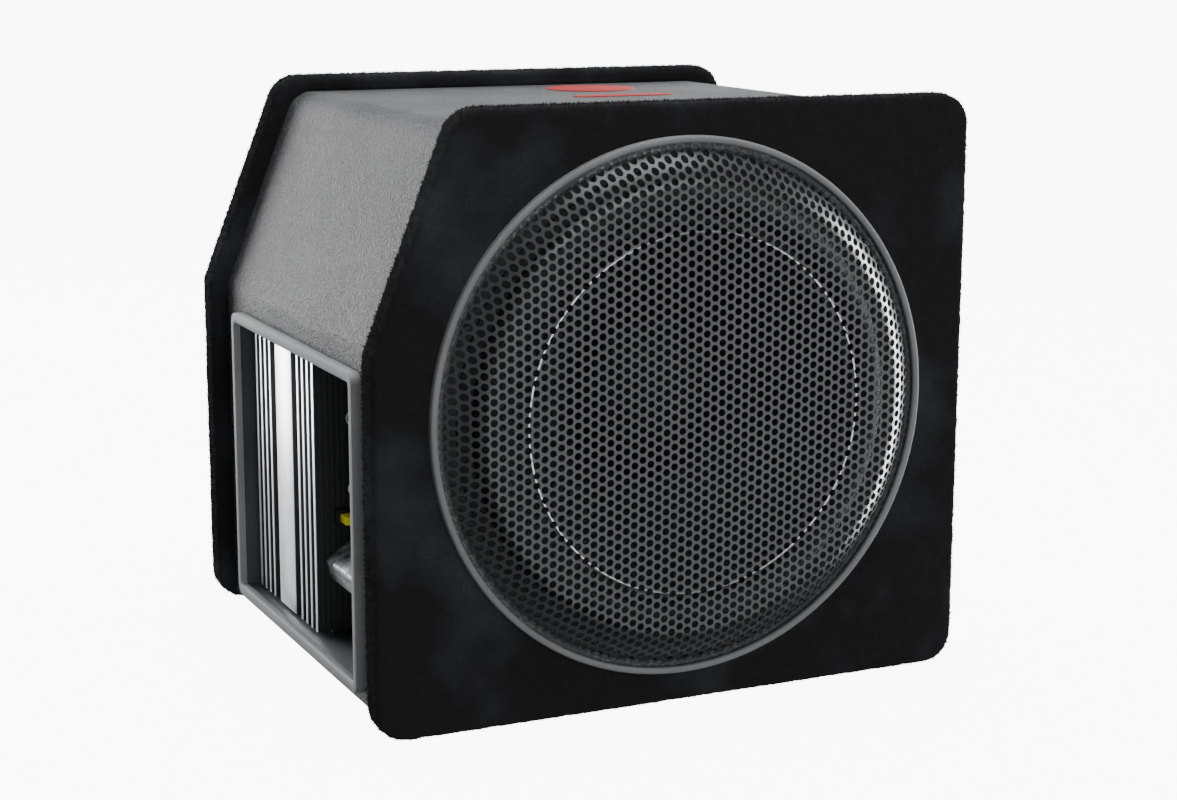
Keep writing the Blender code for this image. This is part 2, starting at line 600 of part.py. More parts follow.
def build_connectors(finishes):
    near = AMP_Y[0] - GAP
    jack = [(0, near - 1), (1.6, near - 1), (1.6, near - 7.4), (3.1, near - 7.4), (3.1, near - 0.5),
            (3.5, near - 0.5), (3.5, near - 8), (4.2, near - 8), (4.2, PANEL + 10), (0, PANEL + 10)]
    for name, x in zip(("left_jack", "right_jack"), JACK_X):
        place(name, lathe(jack, (LEFT + x, FRONT, JACK_Z), 14), finishes["chrome"], smooth=40)

    profile = [(24.5, 60), (58, 60), (58, 85), (42, 85), (25.4, 74.2), (22.8, 72.2), (22.3, 70.2),
               (23, 68)]
    points = [at(x, 0, z) for x, z in profile]
    ends = (TERMINAL_END, near)
    terminals = place("terminal_block", prism([(p[0], p[2]) for p in points], FRONT + ends[0],
                                              FRONT + ends[1]), finishes["terminal"])
    cut(terminals, "wire_wells", joined([cylinder(at(32.5, y, 0), 3.7, 66, 95, "Z", 12)
                                         for y in TERMINALS]))
    cut(terminals, "screw_wells", joined([cylinder(at(49, y, 0), 3.3, 82.6, 90, "Z", 12)
                                          for y in TERMINALS]))

    holder = place("fuse_holder", amp_box((FUSE_X[0] - 2.5, FUSE_X[1] + 2.5), (near - 5, near),
                                          (FUSE_Z[0] - 2.5, FUSE_Z[1] + 2.5)), finishes["black_plastic"])
    slots = [amp_box((FUSE_X[0] + a, FUSE_X[0] + a + 6), (near - 6, near + 1), (98.6, 100.8))
             for a in (1.5, 11.5)]
    cut(holder, "blade_slots", joined(slots))
    body = amp_box(FUSE_X, (near - 16.5, near - 5.3), FUSE_Z)
    origin = at(sum(FUSE_X) / 2, near - 5.3, sum(FUSE_Z) / 2)
    fuse = place("fuse", body, finishes["fuse"], origin)
    blades = [amp_box((FUSE_X[0] + a, FUSE_X[0] + a + 5), (near - 8, near - 0.5), (99.3, 100.1))
              for a in (2, 12)]
    cut(fuse, "fuse_blades", joined(blades), "UNION")

    lens = [(0, near - 2.6), (1.6, near - 2.1), (2.8, near - 0.4), (2.8, PANEL + 3), (0, PANEL + 3)]
    place("status_light", lathe(lens, (LEFT + LIGHT_PLACE[0], FRONT, LIGHT_PLACE[1]), 16),
          finishes["white_plastic"], smooth=50)
    frame = amp_box((46.2, 53.8), (PANEL + 3.3, PANEL + 8), (SWITCH_Z - 8, SWITCH_Z + 8))
    place("phase_switch", frame, finishes["black_plastic"])
    slider = amp_box((48.4, 51.6), (near - 2, PANEL + 3), (SWITCH_Z - 4.4, SWITCH_Z - 0.6))
    place("phase_slider", slider, finishes["white_plastic"], at(50, near, SWITCH_Z - 2.5))
    for name, z in KNOBS.items():
        knob = lathe([(0, near - 6), (3.4, near - 6), (4, near - 5.4), (4.2, near - 0.6), (1.7, near - 0.6),
                      (1.7, PANEL + 3), (0, PANEL + 3)], at(KNOB_X, 0, z), 16)
        thing = place(name, knob, finishes["black_plastic"], at(KNOB_X, near, z), smooth=40)
        pointer = amp_box((KNOB_X - 0.5, KNOB_X + 0.5), (near - 7, near - 5.5), (z, z + 5))
        cut(thing, f"{name}_notch", pointer)


def build_circuit(finishes):
    near, far = AMP_Y[0] + 14, AMP_Y[1] - 14
    board = place("circuit_board", amp_box(BOARD_X, (near, far), (30, 196)), finishes["board"])
    cut(board, "board_wire_hole", cylinder(at(0, *WIRE_ENTRY), 7, 50, 60, "X", 16))
    top = BOARD_X[0] - GAP
    coil = [(7, top - 14), (17, top - 14), (18.5, top - 11), (18.5, top - 3), (17, top), (7, top)]
    place("filter_coil", lathe(coil, at(0, 240, 62), 24, "X"), finishes["copper"], smooth=40)


def main():
    clear_scene()
    finishes = {
        "carpet": finish("black_carpet", (0.012, 0.013, 0.014), 0.95),
        "wood": finish("fibreboard", (0.45, 0.31, 0.18), 0.8),
        "vinyl": finish("grey_vinyl", (0.24, 0.24, 0.245), 0.6),
        "plastic": finish("grey_plastic", (0.09, 0.095, 0.1), 0.45),
        "mesh": finish("grille_paint", (0.1, 0.1, 0.105), 0.4, 0.6),
        "red": finish("red_print", (0.75, 0.03, 0.04), 0.5),
        "steel": finish("zinc_steel", (0.55, 0.55, 0.56), 0.35, 1.0),
        "black_metal": finish("black_painted_steel", (0.02, 0.02, 0.022), 0.45, 0.3),
        "rubber": finish("black_rubber", (0.015, 0.015, 0.016), 0.7),
        "cone": finish("woofer_cone", (0.02, 0.02, 0.022), 0.5),
        "foam": finish("black_foam", (0.02, 0.02, 0.02), 0.95),
        "copper": finish("copper_wire", (0.75, 0.33, 0.16), 0.3, 1.0),
        "brass": finish("brass", (0.75, 0.58, 0.25), 0.35, 1.0),
        "cloth": finish("spider_cloth", (0.55, 0.42, 0.16), 0.9),
        "ferrite": finish("ferrite", (0.06, 0.06, 0.065), 0.6),
        "board": finish("board_green", (0.03, 0.16, 0.07), 0.5),
        "speaker_wire_red": finish("red_insulation", (0.6, 0.03, 0.03), 0.5),
        "speaker_wire_black": finish("black_insulation", (0.02, 0.02, 0.02), 0.5),
        "tray": finish("tray_plastic", (0.025, 0.027, 0.028), 0.5),
        "heatsink": finish("anodised_aluminium", (0.5, 0.5, 0.51), 0.3, 1.0),
        "chrome": finish("chrome", (0.85, 0.85, 0.86), 0.1, 1.0),
        "white_plastic": finish("white_plastic", (0.85, 0.85, 0.85), 0.4),
        "black_plastic": finish("black_plastic", (0.02, 0.02, 0.02), 0.45),
        "terminal": finish("terminal_nickel", (0.5, 0.5, 0.52), 0.35, 0.8),
        "fuse": finish("fuse_yellow", (0.8, 0.72, 0.08), 0.35),
        "fibre": finish("polyester_fibre", (0.8, 0.8, 0.78), 1.0),
    }
    build_end_boards(finishes["carpet"], finishes["wood"])
    build_body(finishes["vinyl"], finishes["wood"])
    build_mark(finishes["red"])
    build_grille(finishes["plastic"], finishes["mesh"])
    build_woofer(finishes)
    build_woofer_wiring(finishes)
    build_tray(finishes)
    build_amp_case(finishes)
    build_connectors(finishes)
    build_circuit(finishes)
    pads = {
        "damping_pad_rear": ((-110, BODY_REAR - 16, 30), (168, BODY_REAR - 1, 330)),
        "damping_pad_right": ((158, BODY_FRONT + 18, 30), (173.5, BODY_REAR - 20, 330)),
    }
    for name, (low, high) in pads.items():
        place(name, block(low, high), finishes["fibre"])


main()
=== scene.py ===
import math
import random

import bmesh
import bpy
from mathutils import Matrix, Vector


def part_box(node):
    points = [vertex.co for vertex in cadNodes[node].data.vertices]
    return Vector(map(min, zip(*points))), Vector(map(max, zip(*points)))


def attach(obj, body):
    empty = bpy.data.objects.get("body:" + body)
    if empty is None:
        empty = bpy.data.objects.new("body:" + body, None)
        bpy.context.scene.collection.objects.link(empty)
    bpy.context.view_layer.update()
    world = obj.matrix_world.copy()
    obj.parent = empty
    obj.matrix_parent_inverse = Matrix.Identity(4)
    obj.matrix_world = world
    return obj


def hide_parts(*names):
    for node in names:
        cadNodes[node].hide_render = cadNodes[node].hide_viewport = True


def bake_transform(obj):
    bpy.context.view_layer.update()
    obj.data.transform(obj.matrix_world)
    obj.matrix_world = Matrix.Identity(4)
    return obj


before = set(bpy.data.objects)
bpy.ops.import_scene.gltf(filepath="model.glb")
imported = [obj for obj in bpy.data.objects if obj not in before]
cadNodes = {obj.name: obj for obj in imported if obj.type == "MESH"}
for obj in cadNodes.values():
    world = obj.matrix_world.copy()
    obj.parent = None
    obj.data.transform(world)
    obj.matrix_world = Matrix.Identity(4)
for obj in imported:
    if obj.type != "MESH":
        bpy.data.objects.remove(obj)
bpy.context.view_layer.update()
mm = 0.001
weld = 0.00001              # doubled vertices nearer than this become one
main = "enclosure"          # the body that all the fixed pieces ride on

# places that many pieces share, in millimetres
box = {
    "left": -200.0, "right": 200.0, "front": -166.3, "rear": 185.7, "top": 371.0,
    "board": 20.0, "slantRun": 55.5, "slantStart": 230.3,
    "sideInset": 12.0, "topInset": 11.0, "bottomInset": 3.0,
}
woofer = Vector((0.0, box["front"], 185.5))


# working by hand: picking, editing, finishing


def letGo():
    if bpy.context.object and bpy.context.object.mode != "OBJECT":
        bpy.ops.object.mode_set(mode="OBJECT")
    bpy.ops.object.select_all(action="DESELECT")


def hold(thing):
    letGo()
    thing.select_set(True)
    bpy.context.view_layer.objects.active = thing


def edit(thing):
    hold(thing)
    bpy.ops.object.mode_set(mode="EDIT")
    bpy.ops.mesh.select_all(action="DESELECT")


def pick(kind, wanted):     # in edit mode, selects the edges or faces that pass the test
    bpy.ops.mesh.select_mode(type=kind)
    bpy.ops.mesh.select_all(action="DESELECT")
    mesh = bmesh.from_edit_mesh(bpy.context.object.data)
    for part in mesh.edges if kind == "EDGE" else mesh.faces:
        if wanted(part):
            part.select_set(True)
    mesh.select_flush_mode()
    bmesh.update_edit_mesh(bpy.context.object.data)


def pickAll():
    bpy.ops.mesh.select_all(action="SELECT")


def bevelEdges(width, segments):     # of the picked edges
    bpy.ops.mesh.bevel(offset=width * mm, segments=segments, affect="EDGES")


def insetAndPush(inset, push):     # the picked face is inset and moved by a vector in millimetres
    bpy.ops.mesh.inset(thickness=inset * mm)
    bpy.ops.mesh.extrude_region_move(TRANSFORM_OT_translate={"value": Vector(push) * mm})


def settleName(name):
    thing = bpy.context.object
    thing.name = name
    thing.data.name = name
    bpy.ops.object.transform_apply(location=True, rotation=True, scale=True)
    return thing


def addBlock(name, low, high):
    letGo()
    low, high = Vector(low) * mm, Vector(high) * mm
    bpy.ops.mesh.primitive_cube_add(size=1, location=(low + high) / 2, scale=high - low)
    return settleName(name)


turnTo = {"X": (0, math.pi / 2, 0), "Y": (math.pi / 2, 0, 0), "Z": (0, 0, 0)}
axes = {"X": Vector((1, 0, 0)), "Y": Vector((0, 1, 0)), "Z": Vector((0, 0, 1))}


def addRod(name, centre, radius, low, high, axis, sides=32):     # low and high are its ends along the axis
    letGo()
    along = axes[axis]
    middle = Vector(centre) - along * along.dot(Vector(centre)) + along * (low + high) / 2
    bpy.ops.mesh.primitive_cylinder_add(vertices=sides, radius=radius * mm, depth=(high - low) * mm,
                                        location=middle * mm, rotation=turnTo[axis])
    return settleName(name)


def addTurned(name, profile, centre, axis, steps):     # closed profile of (radius, place along the axis)
    letGo()
    bpy.ops.mesh.primitive_circle_add(vertices=len(profile), radius=1)
    thing = settleName(name)
    along, side = axes[axis], axes["Z" if axis == "X" else "X"]
    centre = Vector(centre)
    edit(thing)
    mesh = bmesh.from_edit_mesh(thing.data)
    mesh.verts.ensure_lookup_table()
    for vert, (radius, place) in zip(mesh.verts, profile):
        vert.co = (centre + side * radius + along * place) * mm
    bmesh.update_edit_mesh(thing.data)
    pickAll()
    bpy.ops.mesh.spin(steps=steps, angle=2 * math.pi, center=centre * mm, axis=along)
    pickAll()
    bpy.ops.mesh.remove_doubles(threshold=weld)
    bpy.ops.mesh.delete_loose()
    pickAll()
    bpy.ops.mesh.normals_make_consistent(inside=False)
    letGo()
    return thing


def useModifier(thing, kind, **settings):
    hold(thing)
    modifier = thing.modifiers.new(kind.title(), kind)
    for key, value in settings.items():
        setattr(modifier, key, value)
    bpy.ops.object.modifier_apply(modifier=modifier.name)


def cutWith(thing, tool):
    useModifier(thing, "BOOLEAN", object=tool, operation="DIFFERENCE", solver="EXACT")
    bpy.data.objects.remove(tool, do_unlink=True)


def dress(thing, finish, smooth, stands=()):     # smooth is the angle up to which edges look round
    hold(thing)
    if smooth:
        bpy.ops.object.shade_smooth_by_angle(angle=math.radians(smooth))
    thing.data.materials.clear()
    thing.data.materials.append(finish)
    if stands:
        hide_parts(*stands)
    letGo()


def settle(thing, finish, body=main, smooth=35, stands=()):
    dress(thing, finish, smooth, stands)
    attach(thing, body)


def copyNode(node, name, flatten=True):     # a CAD part's mesh, merged, with each flat face in one piece
    thing = bpy.data.objects.new(name, cadNodes[node].data.copy())
    bpy.context.scene.collection.objects.link(thing)
    edit(thing)
    pickAll()
    bpy.ops.mesh.remove_doubles(threshold=weld)
    if flatten:
        bpy.ops.mesh.dissolve_limited(angle_limit=math.radians(1))
    letGo()
    return thing


def easeEdges(thing, width, segments):
    useModifier(thing, "BEVEL", width=width * mm, segments=segments, limit_method="ANGLE",
                angle_limit=math.radians(35), use_clamp_overlap=True)


# finishes


def linear(colour):     # 0 to 255 as a screen shows it, to what the shader takes
    return tuple(((c / 255 + 0.055) / 1.055) ** 2.4 if c > 10.3 else c / 255 / 12.92 for c in colour) + (1.0,)


def addNode(tree, kind, inputs=None, **settings):
    node = tree.nodes.new(kind)
    for key, value in settings.items():
        setattr(node, key, value)
    for key, value in (inputs or {}).items():
        node.inputs[key].default_value = value
    return node


def follow(tree, source, kind, inputs=None, **settings):     # a node whose first input is the source
    node = addNode(tree, kind, inputs, **settings)
    tree.links.new(source, node.inputs[0])
    return node


def addNoise(tree, source, scale, detail=2.0, rough=0.5):
    node = addNode(tree, "ShaderNodeTexNoise", {"Scale": scale, "Detail": detail, "Roughness": rough})
    tree.links.new(source, node.inputs["Vector"])
    return node.outputs[0]


def addRange(tree, source, fromLow, fromHigh, toLow, toHigh):
    node = addNode(tree, "ShaderNodeMapRange", {"From Min": fromLow, "From Max": fromHigh,
                                                "To Min": toLow, "To Max": toHigh})
    tree.links.new(source, node.inputs["Value"])
    return node.outputs["Result"]


def addMix(tree, share, first, second):     # each is a value or a socket
    node = addNode(tree, "ShaderNodeMix", data_type="RGBA")
    for slot, value in ((0, share), (6, first), (7, second)):
        if isinstance(value, (tuple, float)):
            node.inputs[slot].default_value = value
        else:
            tree.links.new(value, node.inputs[slot])
    return node.outputs[2]


def startFinish(name, plan):
    finish = bpy.data.materials.new(name)
    finish.use_nodes = True
    tree = finish.node_tree
    shader = tree.nodes["Principled BSDF"]
    for key, value in plan.get("shader", {}).items():
        shader.inputs[key].default_value = value
    finish.diffuse_color = linear(plan["colour"])
    plain = addNode(tree, "ShaderNodeTexCoord").outputs["Object"]
    return finish, tree, shader, plain


def addStretch(tree, plan, plain):     # the place that a grain reads, drawn out where the plan says so
    return follow(tree, plain, "ShaderNodeMapping", {"Scale": plan.get("stretch", (1, 1, 1))}).outputs[0]


def addPair(tree, operation, first, second):     # two sockets joined by a Math node
    node = follow(tree, first, "ShaderNodeMath", operation=operation)
    tree.links.new(second, node.inputs[1])
    return node.outputs[0]


def addMottle(tree, plain, scale):
    return addRange(tree, addNoise(tree, plain, scale, 4.0), 0.35, 0.65, 0.0, 1.0)


def addBump(tree, shader, height, depth, strength=1.0):
    bump = addNode(tree, "ShaderNodeBump", {"Strength": strength, "Distance": depth * mm})
    tree.links.new(height, bump.inputs["Height"])
    tree.links.new(bump.outputs[0], shader.inputs["Normal"])


def makeFinish(name, plan):     # mottled colour, fine grain in colour, gloss and relief
    finish, tree, shader, plain = startFinish(name, plan)
    dark = linear(plan.get("dark", tuple(c * 0.86 for c in plan["colour"])))
    base = addMix(tree, addMottle(tree, plain, plan.get("mottle", 25.0)), dark, linear(plan["colour"]))
    grain = addNoise(tree, addStretch(tree, plan, plain), plan.get("grain", 900.0), 3.0, 0.6)
    speck = addRange(tree, grain, 0.3, 0.7, 0.0, plan.get("speck", 0.25))
    tree.links.new(addMix(tree, speck, base, linear(tuple(c * 0.6 for c in plan["colour"]))),
                   shader.inputs["Base Color"])
    low, high = plan.get("rough", (0.4, 0.55))
    tree.links.new(addRange(tree, grain, 0.3, 0.7, low, high), shader.inputs["Roughness"])
    addBump(tree, shader, grain, plan.get("depth", 0.03), plan.get("relief", 0.5))
    return finish


def makeCarpet(name, plan):     # short black nap, cloudy where it has been brushed
    finish, tree, shader, plain = startFinish(name, plan)
    cloud = addRange(tree, addNoise(tree, plain, plan["cloud"], 3.0, 0.55), 0.5, 0.72, 0.0, 1.0)
    base = addMix(tree, cloud, linear(plan["colour"]), linear(plan["brushed"]))
    fibre = addNoise(tree, plain, plan["fibre"], 4.0, 0.7)
    shade = addRange(tree, fibre, 0.3, 0.7, 0.35, 1.0)
    tree.links.new(addMix(tree, shade, linear(plan["deep"]), base), shader.inputs["Base Color"])
    clump = addNoise(tree, plain, plan["clump"], 3.0, 0.6)
    addBump(tree, shader, addPair(tree, "ADD", fibre, clump), plan["depth"])
    return finish


def makeVinyl(name, plan):     # pebbled leatherette: rounded cells with fine creases between them, the creases near black as painted shade
    finish, tree, shader, plain = startFinish(name, plan)
    warp = addNoise(tree, plain, plan["warp"], 3.0)
    moved = addNode(tree, "ShaderNodeMix", data_type="VECTOR")
    moved.inputs[0].default_value = plan["bend"]
    tree.links.new(plain, moved.inputs[4])
    tree.links.new(warp, moved.inputs[5])
    cells = addNode(tree, "ShaderNodeTexVoronoi", {"Scale": plan["cells"]}, feature="SMOOTH_F1")
    tree.links.new(moved.outputs[1], cells.inputs["Vector"])
    fine = addNoise(tree, plain, plan["fine"], 2.0)
    pebble = addRange(tree, cells.outputs["Distance"], 0.12, 0.52, 1.0, 0.0)
    # painted shade: the crease colour darkens the hollows between the pebbles
    tone = addMix(tree, pebble, linear(plan["crease"]), linear(plan["colour"]))
    wave = addRange(tree, addNoise(tree, plain, plan["mottle"], 3.0), 0.35, 0.65, 0.0, 0.35)
    tree.links.new(addMix(tree, wave, tone, linear(plan["dark"])), shader.inputs["Base Color"])
    tree.links.new(addRange(tree, fine, 0.3, 0.7, *plan["rough"]), shader.inputs["Roughness"])
    height = follow(tree, fine, "ShaderNodeMath", {1: 0.25}, operation="MULTIPLY_ADD")
    tree.links.new(pebble, height.inputs[2])
    addBump(tree, shader, height.outputs[0], plan["depth"])
    return finish


def makeGrillePaint(name, plan):     # powder coat, with a painted highlight along the pressed crease, stronger towards the sides
    finish, tree, shader, plain = startFinish(name, plan)
    vectorMath, plainMath, crease = "ShaderNodeVectorMath", "ShaderNodeMath", plan["crease"] * mm
    centred = follow(tree, plain, vectorMath, {1: (0, 0, -woofer.z * mm)}, operation="ADD")
    across = follow(tree, centred.outputs[0], vectorMath, {1: (1, 0, 1)}, operation="MULTIPLY")
    radius = follow(tree, across.outputs[0], vectorMath, operation="LENGTH")
    away = follow(tree, radius.outputs["Value"], plainMath, {1: crease}, operation="SUBTRACT")
    distance = follow(tree, away.outputs[0], plainMath, operation="ABSOLUTE")
    half = plan["creaseHalf"] * mm
    line = addRange(tree, distance.outputs[0], half * 0.6, half, 1.0, 0.0)
    parts = follow(tree, plain, "ShaderNodeSeparateXYZ")
    sideways = follow(tree, parts.outputs["X"], plainMath, operation="ABSOLUTE")
    share = addRange(tree, sideways.outputs[0], *plan["highlightFrom"], *plan["highlightShare"])
    base = addMix(tree, addMottle(tree, plain, plan["mottle"]), linear(plan["dark"]), linear(plan["colour"]))
    # painted highlight: the bare colour along the crease line, stronger at the left and right sides
    highlighted = addMix(tree, addPair(tree, "MULTIPLY", line, share), base, linear(plan["bare"]))
    tree.links.new(highlighted, shader.inputs["Base Color"])
    grain = addNoise(tree, plain, plan["grain"], 3.0, 0.6)
    tree.links.new(addRange(tree, grain, 0.3, 0.7, *plan["rough"]), shader.inputs["Roughness"])
    addBump(tree, shader, grain, plan["depth"], 0.5)
    return finish


def makeHeatsink(name, plan):     # black anodised, with the faces that were milled after it left bright
    finish, tree, shader, plain = startFinish(name, plan)
    parts = follow(tree, plain, "ShaderNodeSeparateXYZ")
    face = addRange(tree, parts.outputs["X"], plan["milled"] * mm, (plan["milled"] + 0.3) * mm, 1.0, 0.0)
    lines = addNoise(tree, addStretch(tree, plan, plain), plan["grain"], 3.0, 0.7)
    bright = addMix(tree, lines, linear(plan["brightLow"]), linear(plan["bright"]))
    tree.links.new(addMix(tree, face, linear(plan["colour"]), bright), shader.inputs["Base Color"])
    tree.links.new(addRange(tree, lines, 0.2, 0.8, *plan["rough"]), shader.inputs["Roughness"])
    tree.links.new(addRange(tree, face, 0.0, 1.0, 0.35, 0.9), shader.inputs["Metallic"])
    addBump(tree, shader, lines, plan["depth"])
    return finish


carpetLook = {"colour": (27, 27, 28), "brushed": (46, 47, 52), "deep": (12, 12, 13), "cloud": 11.0,
              "fibre": 1500.0, "clump": 420.0, "depth": 0.9,
              "shader": {"Roughness": 0.95, "Specular IOR Level": 0.01, "Sheen Weight": 0.01,
                         "Sheen Roughness": 0.5}}
# crease is the near-black painted shade in the hollows between the pebbles
vinylLook = {"colour": (87, 87, 90), "dark": (74, 74, 77), "crease": (12, 12, 14), "warp": 160.0,
             "bend": 0.004, "cells": 760.0, "fine": 1500.0, "mottle": 16.0, "rough": (0.5, 0.68),
             "depth": 1.5, "shader": {"Specular IOR Level": 0.3}}
# bare is the colour of the painted highlight along the crease
grilleLook = {"colour": (42, 43, 46), "dark": (37, 38, 41), "bare": (208, 210, 214), "mottle": 25.0,
              "grain": 1600.0, "depth": 0.015, "rough": (0.26, 0.36), "crease": 110.5, "creaseHalf": 0.55,
              "highlightShare": (0.1, 0.85), "highlightFrom": (0.02, 0.085),     # least and most painted highlight on the crease, and where along X
              "shader": {"Specular IOR Level": 0.7}}
heatsinkLook = {"colour": (46, 47, 48), "bright": (244, 244, 246), "brightLow": (206, 206, 210),
                "milled": -183.8, "grain": 260.0, "stretch": (6.0, 6.0, 0.12), "rough": (0.28, 0.42),
                "depth": 0.01}

plans = {     # slot name: the finish's own name, then what differs from the usual plan
    "fibreboard": ("fibreboard", {
        "colour": (176, 142, 104), "dark": (150, 118, 84), "mottle": 60.0, "grain": 700.0, "speck": 0.45,
        "rough": (0.75, 0.9), "depth": 0.08}),
    "red_print": ("red_print", {
        "colour": (118, 0, 5), "dark": (108, 0, 3), "rough": (0.6, 0.7), "speck": 0.08,
        "shader": {"Specular IOR Level": 0.2}}),
    "grey_plastic": ("textured_grey_plastic", {
        "colour": (108, 109, 111), "dark": (100, 101, 103), "grain": 1400.0, "speck": 0.18,
        "depth": 0.06, "rough": (0.6, 0.74), "shader": {"Specular IOR Level": 0.3}}),
    # a darker copy of the bezel's grey plastic: painted shade on the grille ring
    "shaded_ring_plastic": ("shaded_ring_plastic", {
        "colour": (92, 93, 95), "dark": (85, 86, 88), "grain": 1400.0, "speck": 0.18, "depth": 0.06,
        "rough": (0.62, 0.76), "shader": {"Specular IOR Level": 0.25}}),
    "black_metal": ("black_painted_steel", {
        "colour": (34, 34, 36), "rough": (0.35, 0.5), "grain": 1200.0, "shader": {"Metallic": 0.3}}),
    "foam": ("open_cell_foam", {
        "colour": (22, 22, 23), "grain": 1100.0, "speck": 0.6, "depth": 0.35, "rough": (0.85, 0.98)}),
    "rubber": ("black_rubber", {"colour": (18, 18, 19), "rough": (0.6, 0.75), "grain": 800.0}),
    "cone_black": ("pressed_cone", {
        "colour": (15, 15, 16), "rough": (0.55, 0.7), "grain": 500.0, "depth": 0.08, "speck": 0.4,
        "shader": {"Specular IOR Level": 0.25}}),
    "former": ("gold_former", {
        "colour": (196, 160, 92), "rough": (0.25, 0.4), "grain": 600.0, "shader": {"Metallic": 0.8}}),
    "copper": ("copper_winding", {
        "colour": (200, 118, 74), "dark": (150, 78, 44), "grain": 350.0, "stretch": (1.0, 9.0, 1.0),
        "rough": (0.25, 0.45), "depth": 0.12, "shader": {"Metallic": 0.9}}),
    "spider_cloth": ("impregnated_cloth", {
        "colour": (176, 140, 74), "grain": 1300.0, "speck": 0.55, "depth": 0.2, "rough": (0.75, 0.9)}),
    "zinc_steel": ("zinc_steel", {
        "colour": (186, 188, 190), "dark": (160, 162, 168), "mottle": 120.0, "rough": (0.28, 0.42),
        "shader": {"Metallic": 0.95}}),
    "ferrite": ("sintered_ferrite", {
        "colour": (62, 62, 65), "grain": 500.0, "speck": 0.5, "depth": 0.1, "rough": (0.55, 0.75)}),
    "board": ("circuit_board_lacquer", {
        "colour": (30, 104, 58), "dark": (24, 86, 48), "grain": 300.0, "speck": 0.3,
        "rough": (0.25, 0.4)}),
    "red_insulation": ("red_insulation", {"colour": (190, 30, 30), "rough": (0.35, 0.5)}),
    "black_insulation": ("black_insulation", {"colour": (30, 30, 32), "rough": (0.35, 0.5)}),
    "tray_plastic": ("tray_plastic", {
        "colour": (46, 47, 49), "dark": (38, 39, 41), "grain": 1500.0, "speck": 0.2, "depth": 0.05,
        "rough": (0.38, 0.52)}),
    "chrome": ("nickel_plating", {
        "colour": (226, 226, 228), "dark": (206, 206, 210), "rough": (0.12, 0.22), "speck": 0.08,
        "depth": 0.005, "shader": {"Metallic": 1.0}}),
    "terminal_metal": ("terminal_moulding", {
        "colour": (112, 113, 116), "dark": (98, 99, 103), "rough": (0.28, 0.42), "speck": 0.12,
        "shader": {"Metallic": 0.35}}),
    "black_plastic": ("black_plastic", {"colour": (30, 30, 32), "rough": (0.35, 0.5)}),
    "white_plastic": ("white_plastic", {
        "colour": (236, 236, 234), "dark": (226, 226, 224), "speck": 0.06, "rough": (0.3, 0.45)}),
    "fuse_yellow": ("fuse_yellow", {
        "colour": (232, 224, 60), "dark": (222, 212, 40), "speck": 0.06, "rough": (0.2, 0.32),
        "shader": {"Subsurface Weight": 0.1, "Subsurface Scale": 0.002}}),
    "fibre": ("polyester_wadding", {
        "colour": (226, 226, 222), "dark": (204, 204, 200), "mottle": 70.0, "grain": 600.0, "speck": 0.3,
        "depth": 0.8, "rough": (0.9, 1.0)}),
}
finishes = {slot: makeFinish(name, plan) for slot, (name, plan) in plans.items()}
finishes["carpet"] = makeCarpet("carpet_nap", carpetLook)
finishes["vinyl"] = makeVinyl("grey_leatherette", vinylLook)
finishes["aluminium"] = makeHeatsink("anodised_heatsink", heatsinkLook)
finishes["grille_paint"] = makeGrillePaint("grille_powder_coat", grilleLook)

for node in cadNodes.values():     # every CAD part gets the finish that its slot names
    slotName = node.material_slots[0].material.name.split(".")[0]
    for slot in node.material_slots:
        slot.material = finishes["black_metal" if "woofer_screw" in node.name else slotName]
print("finishes ready")


# the two carpeted end boards


def slantPlane(inset):     # a point on the slanted side and its outward direction
    run, rise = box["slantRun"], box["top"] - box["slantStart"]
    outward = Vector((-rise, 0, run)).normalized()
    return Vector((box["left"], 0, box["slantStart"])) - outward * inset, outward


def slantCut(thing, inset):
    point, outward = slantPlane(inset)
    edit(thing)
    pickAll()
    bpy.ops.mesh.bisect(plane_co=point * mm, plane_no=outward, use_fill=True, clear_outer=True)


def roundAlongY(corner, radius, turn, segments):     # rounds the edge that runs front to back at a corner
    near = 2.0
    pick("EDGE", lambda edge: all(abs(v.co.x / mm - corner.x) < near and abs(v.co.z / mm - corner.y) < near
                                  for v in edge.verts))
    bevelEdges(radius * math.tan(math.radians(turn / 2)), segments)


def outlineCorners(side, top, bottom):     # bottom left, bottom right, top right, brow, knee
    point, outward = slantPlane(side)
    along = Vector((outward.z, 0, -outward.x))
    left, right, high = box["left"] + side, box["right"] - side, box["top"] - top
    knee = point + along * ((left - point.x) / along.x)
    brow = point + along * ((high - point.z) / along.z)
    corners = (left, bottom), (right, bottom), (right, high), (brow.x, high), (left, knee.z)
    return [Vector(corner) for corner in corners]


def roundOutline(inset, radii, segments):
    corners = outlineCorners(*inset)
    for i, (corner, radius) in enumerate(zip(corners, radii)):
        turn = 180 - math.degrees((corners[i - 1] - corner).angle(corners[(i + 1) % 5] - corner))
        roundAlongY(corner, radius, turn, segments)


def roundedShape(inset, radii):     # each corner with its arc's centre and the ways to its neighbours
    corners, shape = outlineCorners(*inset), []
    for i, (corner, radius) in enumerate(zip(corners, radii)):
        back = (corners[i - 1] - corner).normalized()
        ahead = (corners[(i + 1) % 5] - corner).normalized()
        middle = (back + ahead).normalized()
        centre = corner + middle * radius / math.sin(back.angle(ahead) / 2)
        shape.append((corner, centre, back, ahead, radius))
    return shape


def insideShape(shape, x, z):     # whether a point lies inside a rounded outline
    here = Vector((x, z))
    for corner, centre, back, ahead, radius in shape:
        off = here - corner
        if ahead.x * off.y - ahead.y * off.x <= 0:
            return False
        off = here - centre
        if off.dot(back) < 0 and off.dot(ahead) < 0 and off.length > radius:
            return False
    return True


